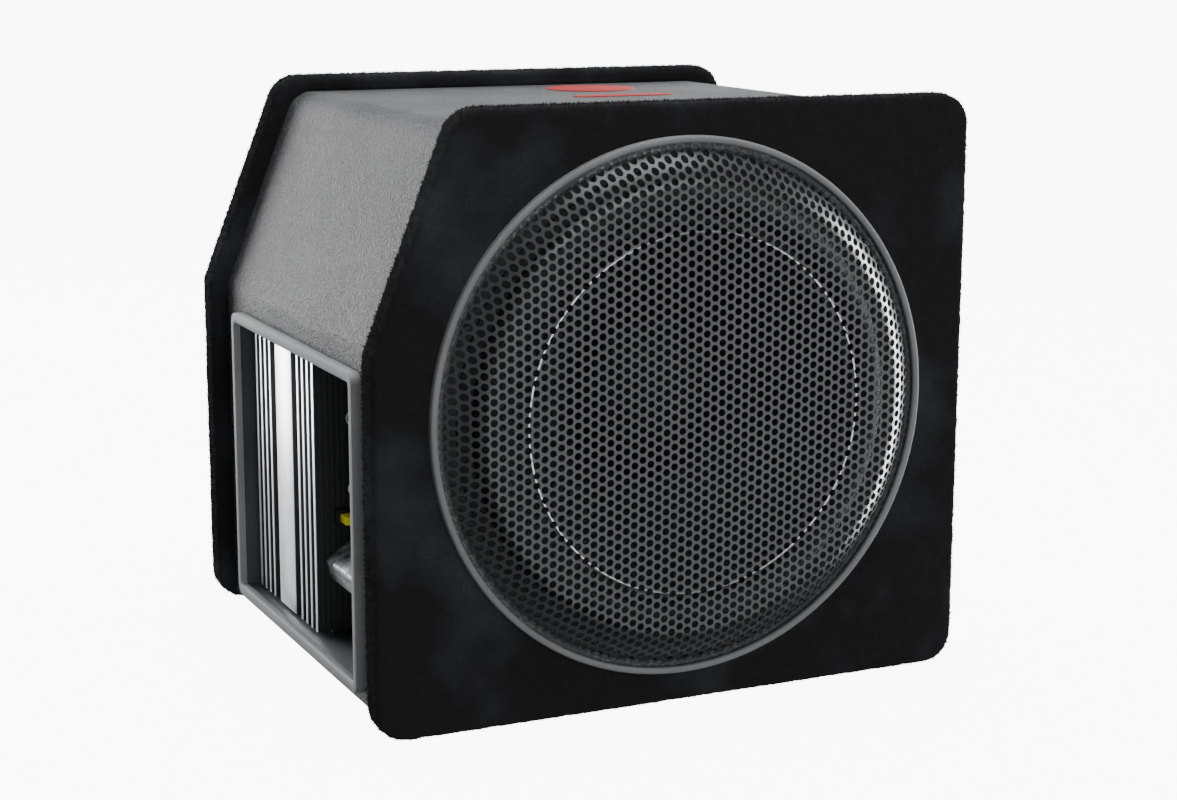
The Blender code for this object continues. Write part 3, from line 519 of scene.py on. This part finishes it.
carpet = {"corner": (20, 20, 20, 20, 10), "rim": 2.6, "voxel": 2.3, "hole": 158.6, "thick": 1.3,
          "bodyCorner": (6, 6, 18, 18, 18), "coarse": (0.0052, 0.9), "fine": (0.0022, 1.0), "overlap": 0.8,
          "holeReach": 1.2, "innerFace": 1.5, "flat": (0.464, 0.435),
          "area": {"front_carpet": 0.106, "rear_carpet": 0.185}, "edgeFibres": 15000, "faceFibres": 5000,
          "fibre": (0.6, 1.9), "fibreFoot": (0.16, 0.4), "fibreSink": 0.4, "lean": 0.5, "seed": 7}


def addFibres(name, board):     # loose ends that stand out of the nap, each a closed spike
    random.seed(carpet["seed"])
    sides, faces = [], []
    for polygon in board.data.polygons:
        (faces if abs(polygon.normal.y) > 0.9 else sides).append(polygon)
    picked = random.choices(sides, k=carpet["edgeFibres"]) + random.choices(faces, k=carpet["faceFibres"])
    verts, spikes = [], []
    for polygon in picked:
        normal = polygon.normal.copy()
        side = normal.orthogonal().normalized()
        across = normal.cross(side)
        spin = random.uniform(0, 2 * math.pi)
        foot = random.uniform(*carpet["fibreFoot"]) * mm
        lean = random.uniform(-carpet["lean"], carpet["lean"]) * side
        lean += random.uniform(-carpet["lean"], carpet["lean"]) * across
        base = polygon.center + (random.uniform(-1, 1) * side + random.uniform(-1, 1) * across) * mm
        root = base - normal * carpet["fibreSink"] * mm
        first = len(verts)
        for k in range(3):
            angle = spin + k * 2 * math.pi / 3
            verts.append(root + (side * math.cos(angle) + across * math.sin(angle)) * foot)
        verts.append(base + (normal + lean).normalized() * random.uniform(*carpet["fibre"]) * mm)
        spikes += [(first, first + 2, first + 1), (first, first + 1, first + 3),
                   (first + 1, first + 2, first + 3), (first + 2, first, first + 3)]
    data = bpy.data.meshes.new(name)
    data.from_pydata(verts, [], spikes)
    thing = bpy.data.objects.new(name, data)
    bpy.context.scene.collection.objects.link(thing)
    return thing


def makeBoardCarpet(name, low, high, hasHole):
    thing = addBlock(name, (box["left"], low, 0), (box["right"], high, box["top"]))
    slantCut(thing, 0)
    roundOutline((0, 0, 0), carpet["corner"], 8)
    for side in (low, high):
        pick("EDGE", lambda edge: all(abs(v.co.y - side * mm) < 0.0001 for v in edge.verts))
        bevelEdges(carpet["rim"], 3)
    letGo()
    if hasHole:
        cutWith(thing, addRod("cutter", woofer, carpet["hole"], low - 5, high + 5, "Y", 180))
    useModifier(thing, "REMESH", mode="VOXEL", voxel_size=carpet["voxel"] * mm)
    inner = high if hasHole else low     # the face towards the box
    inset = [box[side] + carpet["overlap"] for side in ("sideInset", "topInset", "bottomInset")]
    body = roundedShape(inset, carpet["bodyCorner"])
    reach = carpet["hole"] + carpet["holeReach"]

    def bare(face):     # against the body, or round the woofer's hole
        middle = face.calc_center_median() / mm
        if not insideShape(body, middle.x, middle.z):
            return False
        inHole = hasHole and (middle.xz - woofer.xz).length < reach and abs(face.normal.y) < 0.7
        return inHole or abs(middle.y - inner) < carpet["innerFace"]

    edit(thing)
    pick("FACE", bare)
    bpy.ops.mesh.delete(type="FACE")
    pickAll()
    bpy.ops.mesh.delete_loose()
    letGo()
    for scale, strength in (carpet["coarse"], carpet["fine"]):
        nap = bpy.data.textures.new(f"{name}_nap", "CLOUDS")
        nap.noise_scale = scale
        nap.noise_depth = 2
        useModifier(thing, "DISPLACE", texture=nap, strength=strength * mm, mid_level=0.5,
                    texture_coords="LOCAL")
    fibres = addFibres(f"{name}_fibres", thing)
    useModifier(thing, "SOLIDIFY", thickness=carpet["thick"] * mm, offset=-1.0)
    return thing, fibres


front, rear, depth = box["front"], box["rear"], box["board"]
for name, low, high, board in (("front_carpet", front, front + depth, "front_baffle"),
                               ("rear_carpet", rear - depth, rear, "rear_board")):
    nap, fibres = makeBoardCarpet(f"{name}_nap", low, high, name == "front_carpet")
    settle(nap, finishes["carpet"], smooth=180, stands=(name,))
    settle(fibres, finishes["carpet"], smooth=0)
    cut = sum(polygon.area for polygon in nap.data.polygons) / 2
    print(name, len(nap.data.polygons), "faces", round(cut, 4), "square metres")


# the vinyl round the box

vinyl = {"front": -148.3, "rear": 167.7, "corner": (6, 6, 18, 18, 18), "thick": 1.1, "hole": 2.8,
         "flat": (0.316, 1.408), "area": 0.398, "trayY": (-108.8, 129.2), "trayZ": (20.5, 207.0)}
inset = (box["sideInset"], box["topInset"], box["bottomInset"])
wrap = addBlock("leatherette_wrap", (box["left"] + inset[0], vinyl["front"], inset[2]),
                (box["right"] - inset[0], vinyl["rear"], box["top"] - inset[1]))
slantCut(wrap, inset[0])
roundOutline(inset, vinyl["corner"], 12)
pick("FACE", lambda face: abs(face.normal.y) > 0.9)
bpy.ops.mesh.delete(type="FACE")
letGo()
useModifier(wrap, "SOLIDIFY", thickness=vinyl["thick"] * mm, offset=-1.0)
(yLow, yHigh), (zLow, zHigh), spare = vinyl["trayY"], vinyl["trayZ"], vinyl["hole"]
cutWith(wrap, addBlock("cutter", (box["left"], yLow - spare, zLow - spare),
                       (box["left"] + 30, yHigh + spare, zHigh + spare)))
settle(wrap, finishes["vinyl"], smooth=30, stands=("vinyl_wrap",))

# the printed mark: a disc and, in front of it, a bar with round ends
mark = {"centre": (68, 114.7, 0), "radius": 32, "low": 360.1, "high": 360.5, "bar": ((22, 34), (96, 51)),
        "barRound": 8, "ease": 0.15}


def easeTop():     # in edit mode, takes the sharpness off the print's upper edge
    pick("EDGE", lambda edge: all(v.co.z > (mark["high"] - 0.05) * mm for v in edge.verts))
    bevelEdges(mark["ease"], 2)
    letGo()


disc = addRod("printed_disc", mark["centre"], mark["radius"], mark["low"], mark["high"], "Z", 96)
edit(disc)
easeTop()
settle(disc, finishes["red_print"], stands=("top_mark",))
(x0, y0), (x1, y1) = mark["bar"]
bar = addBlock("printed_bar", (x0, y0, mark["low"]), (x1, y1, mark["high"]))
edit(bar)
pick("EDGE", lambda edge: abs(edge.verts[0].co.x - edge.verts[1].co.x) < 1e-6
     and abs(edge.verts[0].co.y - edge.verts[1].co.y) < 1e-6)
bevelEdges(mark["barRound"], 8)
easeTop()
settle(bar, finishes["red_print"])
print("wrap and mark")


# the grille: ring, rim and the punched and pressed sheet

ring = {"steps": 200, "section": [(164.3, -2.2), (161.7, -2.2), (161.7, -3.5), (161.9, -4.2), (162.4, -4.7),
                                  (163.1, -4.95), (164.2, -5.0), (165.0, -4.8), (165.6, -4.3), (165.9, -3.6),
                                  (166.0, -2.8), (166.0, -0.3), (164.3, -0.3)]}
grilleRing = addTurned("grille_ring_finished", ring["section"], woofer, "Y", ring["steps"])
# the ring's plastic is darker than the bezel's as painted shade
settle(grilleRing, finishes["shaded_ring_plastic"], stands=("grille_ring",))

mesh = {"pitch": 6.1, "hole": 2.3, "edge": 161.0, "trim": 163.6, "thick": 0.9, "proud": 19.2, "flange": 1.3,
        "shoulder": (158.5, 135.0), "crown": 1.6, "ridge": (grilleLook["crease"], 1.0, 0.7), "across": 62,
        "down": 54, "merge": 0.00005, "rim": (157.2, 164.0), "rimBehind": (0.3, 0.8)}


def domeHeight(radius):     # how far the sheet stands in front of the carpet
    outer, inner = mesh["shoulder"]
    middle, width, tall = mesh["ridge"]
    if radius >= outer:
        return mesh["flange"]
    if radius > inner:
        rise = mesh["proud"] - mesh["crown"] - mesh["flange"]
        return mesh["flange"] + rise * math.sin((outer - radius) / (outer - inner) * math.pi / 2)
    ridge = tall * math.exp(-((radius - middle) / width) ** 2)
    return mesh["proud"] - mesh["crown"] * (radius / inner) ** 2 + ridge


pitch, column = mesh["pitch"], mesh["pitch"] * math.sqrt(3) / 2
across, down, merge = mesh["across"], mesh["down"], mesh["merge"]
letGo()
bpy.ops.mesh.primitive_circle_add(vertices=12, radius=mesh["hole"] * mm, rotation=turnTo["Y"])
sheet = settleName("grille_sheet")
edit(sheet)
pickAll()
bpy.ops.mesh.extrude_edges_move()     # a six sided cell round one hole, flat sides up and down
cell = bmesh.from_edit_mesh(sheet.data)
for vert in [v for v in cell.verts if v.select]:
    angle = math.atan2(vert.co.z, vert.co.x)
    corner = round(angle / math.radians(30)) % 2 == 0
    reach = pitch / math.sqrt(3) if corner else pitch / 2
    vert.co = Vector((math.cos(angle), 0, math.sin(angle))) * reach * mm
bmesh.update_edit_mesh(sheet.data)
pickAll()
bpy.ops.mesh.duplicate_move(TRANSFORM_OT_translate={"value": (column * mm, 0, pitch / 2 * mm)})
pickAll()
bpy.ops.transform.translate(value=(-column * across / 2 * mm, 0, -pitch * down / 2 * mm))
letGo()
for copies, step in ((across // 2, (column * 2 * mm, 0, 0)), (down, (0, 0, pitch * mm))):
    useModifier(sheet, "ARRAY", count=copies, use_relative_offset=False, use_constant_offset=True,
                constant_offset_displace=step, use_merge_vertices=True, merge_threshold=merge)
edit(sheet)
pickAll()
bpy.ops.mesh.remove_doubles(threshold=merge)


def cellRadius(face):     # distance of the middle of a face's own cell from the middle of the sheet
    x, z = (c / mm for c in face.calc_center_median().xz)
    near = []
    for step in range(math.floor(x / column), math.floor(x / column) + 2):
        half = pitch / 2 if (step + across // 2) % 2 else 0
        row = round((z - half) / pitch) * pitch + half
        near.append((math.hypot(x - step * column, z - row), math.hypot(step * column, row)))
    return min(near)[1]


pick("FACE", lambda face: cellRadius(face) > mesh["edge"])
bpy.ops.mesh.delete(type="FACE")
pickAll()
bpy.ops.mesh.normals_make_consistent(inside=False)
cell = bmesh.from_edit_mesh(sheet.data)
limit = mesh["trim"]
for vert in cell.verts:
    radius = vert.co.xz.length / mm
    if radius > limit:
        vert.co *= limit / radius
        radius = limit
    vert.co += Vector((0, -domeHeight(radius), 0)) * mm + woofer * mm
if sum(face.normal.y for face in cell.faces) > 0:
    bpy.ops.mesh.flip_normals()
bmesh.update_edit_mesh(sheet.data)
letGo()
useModifier(sheet, "SOLIDIFY", thickness=mesh["thick"] * mm, offset=-1.0)
settle(sheet, finishes["grille_paint"], smooth=50, stands=("grille_mesh",))
(rimIn, rimOut), (rimFront, rimBack) = mesh["rim"], (place - mesh["flange"] for place in mesh["rimBehind"])
rimSection = [(rimIn, rimFront), (rimOut, rimFront), (rimOut, rimBack), (rimIn, rimBack)]
rim = addTurned("grille_sheet_rim_painted_shade", rimSection, woofer, "Y", 160)
# a flange under the sheet's edge, coloured black as painted shade for the dark gap between the ring and the
# sheet
settle(rim, finishes["black_plastic"])
print("grille", len(sheet.data.polygons))


# the bezel round the amplifier tray

bezel = {"x": (-195.0, -188.3), "y": (-115.3, 134.7), "z": (14.5, 213.6), "bar": 7.0, "outerRound": 7.0,
         "innerRound": 2.4, "faceEase": 0.8, "innerEase": 1.9, "rebate": 4.4, "rebateY": (-113.2, 133.6),
         "rebateZ": (16.0, 211.5)}


def roundedBlock(name, low, high, radius):     # its edges along X rounded
    thing = addBlock(name, low, high)
    edit(thing)
    pick("EDGE", lambda edge: abs((edge.verts[0].co - edge.verts[1].co).normalized().x) > 0.99)
    bevelEdges(radius, 8)
    letGo()
    return thing


(bx0, bx1), (by0, by1), (bz0, bz1), wide = bezel["x"], bezel["y"], bezel["z"], bezel["bar"]
trim = roundedBlock("tray_bezel", (bx0, by0, bz0), (bx1, by1, bz1), bezel["outerRound"])
cutWith(trim, roundedBlock("cutter", (bx0 - 5, by0 + wide, bz0 + wide), (bx1 + 5, by1 - wide, bz1 - wide),
                           bezel["innerRound"]))
(ry0, ry1), (rz0, rz1) = bezel["rebateY"], bezel["rebateZ"]
cutWith(trim, addBlock("cutter", (bx0 + bezel["rebate"], ry0, rz0), (bx1 + 5, ry1, rz1)))


def insideEdge(vert):     # on the opening's edge
    y, z = vert.co.y / mm, vert.co.z / mm
    return by0 + wide - 0.1 < y < by1 - wide + 0.1 and bz0 + wide - 0.1 < z < bz1 - wide + 0.1


def easeFace(inside, width, segments):     # the outer face's edges, round the opening or round the outside
    pick("EDGE", lambda edge: len(edge.link_faces) == 2
         and any(abs(face.normal.x) < 0.5 for face in edge.link_faces)
         and all(abs(v.co.x / mm - bx0) < 0.05 and insideEdge(v) == inside for v in edge.verts))
    bevelEdges(width, segments)


edit(trim)
easeFace(True, bezel["innerEase"], 4)
easeFace(False, bezel["faceEase"], 3)
letGo()
settle(trim, finishes["grey_plastic"], stands=("trim_frame",))
print("bezel")


# the CAD parts that show, with their edges eased

eased = [     # CAD part, width of the eased edge, finish, body
    ("amp_tray", 0.5, "tray_plastic", main), ("amp_heatsink", 0.18, "aluminium", main),
    ("amp_top_plate", 0.3, "black_metal", main), ("amp_bottom_plate", 0.3, "black_metal", main),
    ("fuse_holder", 0.4, "black_plastic", main), ("fuse", 0.5, "fuse_yellow", "fuse_body"),
    ("gain_knob", 0.3, "black_plastic", "gain_knob_body"),
    ("filter_knob", 0.3, "black_plastic", "filter_knob_body"),
    ("bass_knob", 0.3, "black_plastic", "bass_knob_body"),
    ("phase_slider", 0.3, "white_plastic", "phase_slider_body"), ("phase_switch", 0.4, "black_plastic", main),
    ("left_jack", 0.15, "black_plastic", main), ("right_jack", 0.15, "black_plastic", main),
    ("status_light", 0.2, "white_plastic", main),
]
for node, width, finishName, body in eased:
    thing = copyNode(node, f"{node}_finished")
    easeEdges(thing, width, 2)
    settle(thing, finishes[finishName], body, 30, (node,))
print("eased parts")

# the terminal block: four cells parted by slits, with a screw in each

terminals = {"wide": 0.7, "deep": 1.8, "slits": (-21.8, -34.8, -47.8), "wells": (-15.3, -28.3, -41.3, -54.3),
             "lipX": -177.7, "slopeTop": (-174.6, 74.2), "slopeWay": (-0.545, 0.838),
             "screwX": -151.0, "screwZ": 82.7, "head": 2.9, "height": 1.9, "slot": 0.8, "ease": 0.7}
block = copyNode("terminal_block", "terminal_block_finished")
easeEdges(block, terminals["ease"], 3)
half, deep = terminals["wide"] / 2, terminals["deep"]
(slopeX, slopeZ), (wayX, wayZ) = terminals["slopeTop"], terminals["slopeWay"]
for y in terminals["slits"]:     # a slit follows the lip and the slope behind it
    cutWith(block, addBlock("cutter", (-179, y - half, 64), (terminals["lipX"] + deep * 0.6, y + half, 80)))
    slope = addBlock("cutter", (-178, y - half, 72), (-157, y + half, 90))
    edit(slope)
    pickAll()
    bpy.ops.mesh.bisect(plane_co=Vector((slopeX + deep * 0.55, 0, slopeZ - deep * 0.84)) * mm,
                        plane_no=(-wayX, 0, -wayZ), use_fill=True, clear_outer=True)
    letGo()
    cutWith(block, slope)
settle(block, finishes["terminal_metal"], smooth=30, stands=("terminal_block",))


def addScrew(name, centre, axis, way, head, height, slotted=False):     # a zinc plated head, socket or slot
    along, centre = axes[axis], Vector(centre)
    start = along.dot(centre)
    flat = centre - along * start
    low, high = sorted((start, start + way * height))
    screw = addRod(name, centre, head, low, high, axis, 24)
    edit(screw)
    pick("FACE", lambda face: face.normal.dot(along) * way > 0.9)
    if not slotted:
        insetAndPush(head * 0.52, -along * way * height * 0.6)

    def onRim(vert):
        place = along.dot(vert.co)
        return (abs(place / mm - start - way * height) < 0.001
                and (vert.co - along * place - flat * mm).length > head * 0.9 * mm)

    pick("EDGE", lambda edge: all(onRim(v) for v in edge.verts))
    bevelEdges(head * 0.12, 2)
    letGo()
    if slotted:
        x, y, z = centre
        half = terminals["slot"] / 2
        cutWith(screw, addBlock("cutter", (x - head * 1.2, y - half, z + height * 0.45),
                                (x + head * 1.2, y + half, z + height + 1)))
    settle(screw, finishes["zinc_steel"])


for k, y in enumerate(terminals["wells"]):
    addScrew(f"terminal_screw_{k + 1}", (terminals["screwX"], y, terminals["screwZ"]), "Z", 1,
             terminals["head"], terminals["height"], slotted=True)
print("terminal block")


# screws and small parts of the amplifier

amplifier = {"bossX": (-167.0, -140.0), "bossY": (-2.6, 109.5), "top": 202.5, "low": 22.7, "plateHead": 2.6,
             "plateHigh": 1.4, "mountY": (-13.0, 119.9), "mountZ": (38.0, 188.0), "mountX": -135.8,
             "mountHead": 3.8, "mountHigh": 2.2, "panel": -4.6, "pots": (147.0, 178.0, 191.0), "potX": -150.0,
             "potHalf": 4.6, "potBack": (1.0, 8.5)}
count = 0
for x in amplifier["bossX"]:
    for y in amplifier["bossY"]:
        for start, way in ((amplifier["top"], 1), (amplifier["low"], -1)):
            count += 1
            addScrew(f"end_plate_screw_{count}", (x, y, start), "Z", way, amplifier["plateHead"],
                     amplifier["plateHigh"])
for k, (y, z) in enumerate((y, z) for y in amplifier["mountY"] for z in amplifier["mountZ"]):
    addScrew(f"amplifier_mount_screw_{k + 1}", (amplifier["mountX"], y, z), "X", -1, amplifier["mountHead"],
             amplifier["mountHigh"])
for k, z in enumerate(amplifier["pots"]):     # the controls behind their knobs
    x, half = amplifier["potX"], amplifier["potHalf"]
    near, far = (amplifier["panel"] + place for place in amplifier["potBack"])
    pot = addBlock(f"control_body_{k + 1}", (x - half, near, z - half), (x + half, far, z + half))
    edit(pot)
    pick("FACE", lambda face: face.normal.y > 0.9)
    insetAndPush(0.8, (0, 0.9, 0))
    pick("EDGE", lambda edge: edge.calc_length() > 5 * mm)
    bevelEdges(0.3, 2)
    letGo()
    settle(pot, finishes["black_plastic"])

capacitors = {"radius": 6.2, "x": (-165.5, -142.3), "y": (30, 46), "z": (60, 110, 150)}
low, high = capacitors["x"]
for k, (z, y) in enumerate((z, y) for z in capacitors["z"] for y in capacitors["y"]):     # sunk tops
    can = addRod(f"capacitor_{k + 1}", (0, y, z), capacitors["radius"], low, high, "X", 32)
    edit(can)
    pick("FACE", lambda face: face.normal.x < -0.9)
    insetAndPush(1.0, (0.4, 0, 0))
    pick("EDGE", lambda edge: all((v.co.yz - Vector((y, z)) * mm).length > (capacitors["radius"] - 0.1) * mm
                                  for v in edge.verts)
         and abs(edge.verts[0].co.x - edge.verts[1].co.x) < 1e-6)
    bevelEdges(0.8, 3)
    letGo()
    settle(can, finishes["black_insulation"])
    can.data.materials.append(finishes["zinc_steel"])
    for polygon in can.data.polygons:
        if polygon.normal.x < -0.9:
            polygon.material_index = 1

transistors = {"x": (-170.7, -166.3), "y": (75, 92), "z": (60, 100, 150), "wide": 5, "tall": 8}
low, high = transistors["x"]
for k, (z, y) in enumerate((z, y) for z in transistors["z"] for y in transistors["y"]):     # with a tab
    half, rise = transistors["wide"], transistors["tall"]
    chip = addBlock(f"transistor_{k + 1}", (low, y - half, z - rise), (high, y + half, z + rise))
    edit(chip)
    pick("FACE", lambda face: face.normal.x > 0.9)
    insetAndPush(0.5, (0.5, 0, 0))
    bpy.ops.transform.resize(value=(1, 0.9, 0.9))
    pick("FACE", lambda face: face.normal.z > 0.9 and face.calc_area() > 2e-5)
    insetAndPush(0.6, (0, 0, 4))
    letGo()
    settle(chip, finishes["black_plastic"], smooth=30)

sockets = {"front": -9.15, "insertFront": -9.1, "jackX": (-157.5, -148.5), "jackZ": 163.5, "lightZ": 117.0,
           "proud": 0.9, "ease": 0.2, "insert": (1.75, 2.95), "insertBack": (-8.0, -2.0)}
leftX, rightX = sockets["jackX"]
collars = [     # name, x, z, bore and outer radius of the white rings on the panel
    ("left_jack_collar", leftX, sockets["jackZ"], 4.3, 4.95),
    ("right_jack_collar", rightX, sockets["jackZ"], 4.3, 4.45),
    ("status_light_collar", leftX, sockets["lightZ"], 2.9, 4.3),
]
for name, x, z, bore, reach in collars:
    proud, ease = sockets["proud"], sockets["ease"]
    profile = [(bore, 0.0), (bore, ease - proud), (bore + ease, -proud), (reach - ease, -proud),
               (reach, ease - proud), (reach, 0.0)]
    collar = addTurned(name, profile, (x, sockets["front"], z), "Y", 40)
    settle(collar, finishes["white_plastic"], smooth=40)
(inR, outR), (near, far) = sockets["insert"], sockets["insertBack"]
for name, x in (("left_jack_insert", leftX), ("right_jack_insert", rightX)):
    insert = addTurned(name, [(inR, near), (outR, near), (outR, far), (inR, far)],
                       (x, sockets["insertFront"], sockets["jackZ"]), "Y", 32)
    settle(insert, finishes["white_plastic"])
print("amplifier parts")


# the woofer's soft parts, in sectors between the basket and the cone

suspension = {"sectors": 16, "steps": 4, "surround": (146.0, 119.0), "spider": (80.0, 30.0),
              "rollRadius": 129, "waves": 24, "lead": ((-97.5, -102, 185.5), (-30, -102, 185.5))}


def addSectors(name, profile, slot, node):
    count, steps = suspension["sectors"], suspension["steps"]
    for k in range(count):
        turn, half = 2 * math.pi * k / count, math.pi / count
        letGo()
        bpy.ops.mesh.primitive_circle_add(vertices=len(profile), radius=1, fill_type="NGON")
        wedge = settleName(f"{name}_{k + 1}")
        start = Vector((math.cos(turn - half), 0, -math.sin(turn - half)))
        edit(wedge)
        section = bmesh.from_edit_mesh(wedge.data)
        section.verts.ensure_lookup_table()
        for vert, (radius, place) in zip(section.verts, profile):
            vert.co = (woofer + start * radius + axes["Y"] * place) * mm
        bmesh.update_edit_mesh(wedge.data)
        pickAll()
        bpy.ops.mesh.duplicate()
        bpy.ops.mesh.spin(steps=steps, angle=2 * half, center=woofer * mm, axis=(0, 1, 0))
        pickAll()
        bpy.ops.mesh.remove_doubles(threshold=weld)
        bpy.ops.mesh.normals_make_consistent(inside=False)
        dress(wedge, finishes[slot], 50, (node,))
        middle = Vector((math.cos(turn), 0, -math.sin(turn)))     # the spin leaves the mesh one sector back
        start, end = ((woofer + middle * radius) * mm for radius in suspension[node])
        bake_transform(wedge)
        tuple(start)
        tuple(end)


def halfRoll(radius, foot, steps=12):     # section of the surround's roll
    turns = [math.pi * k / steps for k in range(steps + 1)]
    return [(suspension["rollRadius"] + radius * math.cos(turn), foot - radius * math.sin(turn) * 0.95)
            for turn in turns]


surroundSection = [(148, 1.2), (148, 0.2), *halfRoll(10.0, 0.2),
                   (113.5, 0.2), (113.5, 1.2), *halfRoll(9.0, 1.2)[::-1]]
addSectors("surround_sector", surroundSection, "rubber", "surround")
waves = [(25.6 + 49.4 * k / suspension["waves"], 76.6 + 1.6 * math.cos(k * math.pi / 3))
         for k in range(suspension["waves"] + 1)] + [(78, 78.9), (85, 78.9)]
spiderSection = waves + [(radius, place + 0.7) for radius, place in waves[::-1]]
addSectors("spider_sector", spiderSection, "spider_cloth", "spider")
for name in ("tinsel_lead_low", "tinsel_lead_high"):
    lead = copyNode(name, f"{name}_braid", flatten=False)
    dress(lead, finishes["copper"], 60, (name,))
    start, end = (Vector(place) * mm for place in suspension["lead"])
    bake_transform(lead)
print("woofer suspension")


# wadding pads inside

pads = {"cell": 6.0, "swell": 2.2, "lump": 0.03, "ease": 4.0, "inset": 2, "fill": 0.4}
for name in ("damping_pad_rear", "damping_pad_right"):
    low, high = (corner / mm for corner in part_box(name))
    inset = Vector((1, 1, 1)) * pads["inset"]
    pad = addBlock(f"{name}_wadding", low + inset, high - inset)
    useModifier(pad, "BEVEL", width=pads["ease"] * mm, segments=3)
    useModifier(pad, "REMESH", mode="VOXEL", voxel_size=pads["cell"] * mm)
    lumps = bpy.data.textures.new(f"{name}_lumps", "CLOUDS")
    lumps.noise_scale = pads["lump"]
    useModifier(pad, "DISPLACE", texture=lumps, strength=pads["swell"] * mm, mid_level=0.5,
                texture_coords="LOCAL")
    useModifier(pad, "SUBSURF", levels=1, render_levels=1)
    settle(pad, finishes["fibre"], smooth=180, stands=(name,))
print("pads")


# floor, light and camera

studio = {"floor": (96, 96, 96), "floorDark": (92, 92, 92), "glow": 9.5, "world": (0.97, 0.98, 1.0),
          "bright": (0.1, 0.98, 0.12), "worldRange": (0.12, 1.3), "backdrop": 9.5}
letGo()
bpy.ops.mesh.primitive_plane_add(size=60, location=(0, 0, 0))
floor = settleName("floor")
floor.data.materials.append(makeFinish("pale_floor", {"colour": studio["floor"], "dark": studio["floorDark"],
                                                      "mottle": 0.6, "grain": 40.0, "speck": 0.02,
                                                      "rough": (0.6, 0.7), "depth": 0.0, "relief": 0.0,
                                                      "shader": {"Specular IOR Level": 0.0}}))
floor.visible_diffuse = False     # its glow makes the ground pale and doesn't light the object
floor.visible_glossy = False
floor.visible_shadow = False

glow = floor.data.materials[0].node_tree.nodes["Principled BSDF"]
glow.inputs["Emission Color"].default_value = (1, 1, 1, 1)
glow.inputs["Emission Strength"].default_value = studio["glow"]

world = bpy.data.worlds.new("studio")     # a room that is bright behind the object and dim at its left
world.use_nodes = True
room = world.node_tree
room.nodes["Background"].inputs["Color"].default_value = (*studio["world"], 1)
direction = addNode(room, "ShaderNodeTexCoord").outputs["Generated"]
facing = follow(room, direction, "ShaderNodeVectorMath", {1: studio["bright"]}, operation="DOT_PRODUCT")
seen = addNode(room, "ShaderNodeLightPath")     # seen past the floor, the room is as pale as the floor
strength = follow(room, seen.outputs["Is Camera Ray"], "ShaderNodeMix", {3: studio["backdrop"]})
room.links.new(addRange(room, facing.outputs["Value"], -0.1, 0.9, *studio["worldRange"]), strength.inputs[2])
room.links.new(strength.outputs[0], room.nodes["Background"].inputs["Strength"])
bpy.context.scene.world = world

lights = [     # name, place, aimed at, width, height, power, and what it reaches
    ("top_softbox", (0.2, 0.0, 2.1), (0, 0, 0.2), 1.6, 1.4, 30, "all"),
    ("top_fill", (0.2, 0.1, 2.2), (0, 0, 0.2), 1.6, 1.4, 112, "matt"),
    ("right_softbox", (1.9, 0.45, 0.1), (0, 0.1, 0.2), 2.2, 1.9, 420, "gloss"),
    ("rear_left_softbox", (-1.0, 1.85, 0.5), (-0.15, 0, 0.2), 1.0, 1.4, 62, "all"),
    ("front_softbox", (0.5, -2.5, 1.5), (0, 0, 0.2), 1.8, 1.2, 24, "all"),
    ("front_fill", (-0.5, -2.6, 0.3), (0, 0, 0.2), 1.8, 1.6, 76, "matt"),
    ("front_card", (1.2, -2.45, -0.3), (0, -0.18, 0.2), 2.2, 1.5, 14, "gloss"),
]
for name, place, target, wide, high, power, reach in lights:
    lamp = bpy.data.lights.new(name, "AREA")
    lamp.shape = "RECTANGLE"
    lamp.size, lamp.size_y, lamp.energy = wide, high, power
    stand = bpy.data.objects.new(name, lamp)
    stand.location = place
    stand.rotation_euler = (Vector(target) - Vector(place)).to_track_quat("-Z", "Y").to_euler()
    stand.visible_camera = False
    stand.visible_glossy = reach != "matt"
    stand.visible_diffuse = reach != "gloss"
    bpy.context.scene.collection.objects.link(stand)

lens = {"place": (-0.62676, -1.37387, 0.46776), "turn": (78.49, -0.135, -24.96), "length": 69.91,
        "sensor": 36, "clip": 0.05}
camera = bpy.data.objects.new("camera", bpy.data.cameras.new("camera"))
camera.location = lens["place"]
camera.rotation_euler = [math.radians(a) for a in lens["turn"]]
camera.data.lens = lens["length"]
camera.data.sensor_width = lens["sensor"]
camera.data.clip_start = lens["clip"]
bpy.context.scene.collection.objects.link(camera)
bpy.context.scene.camera = camera
print("studio")
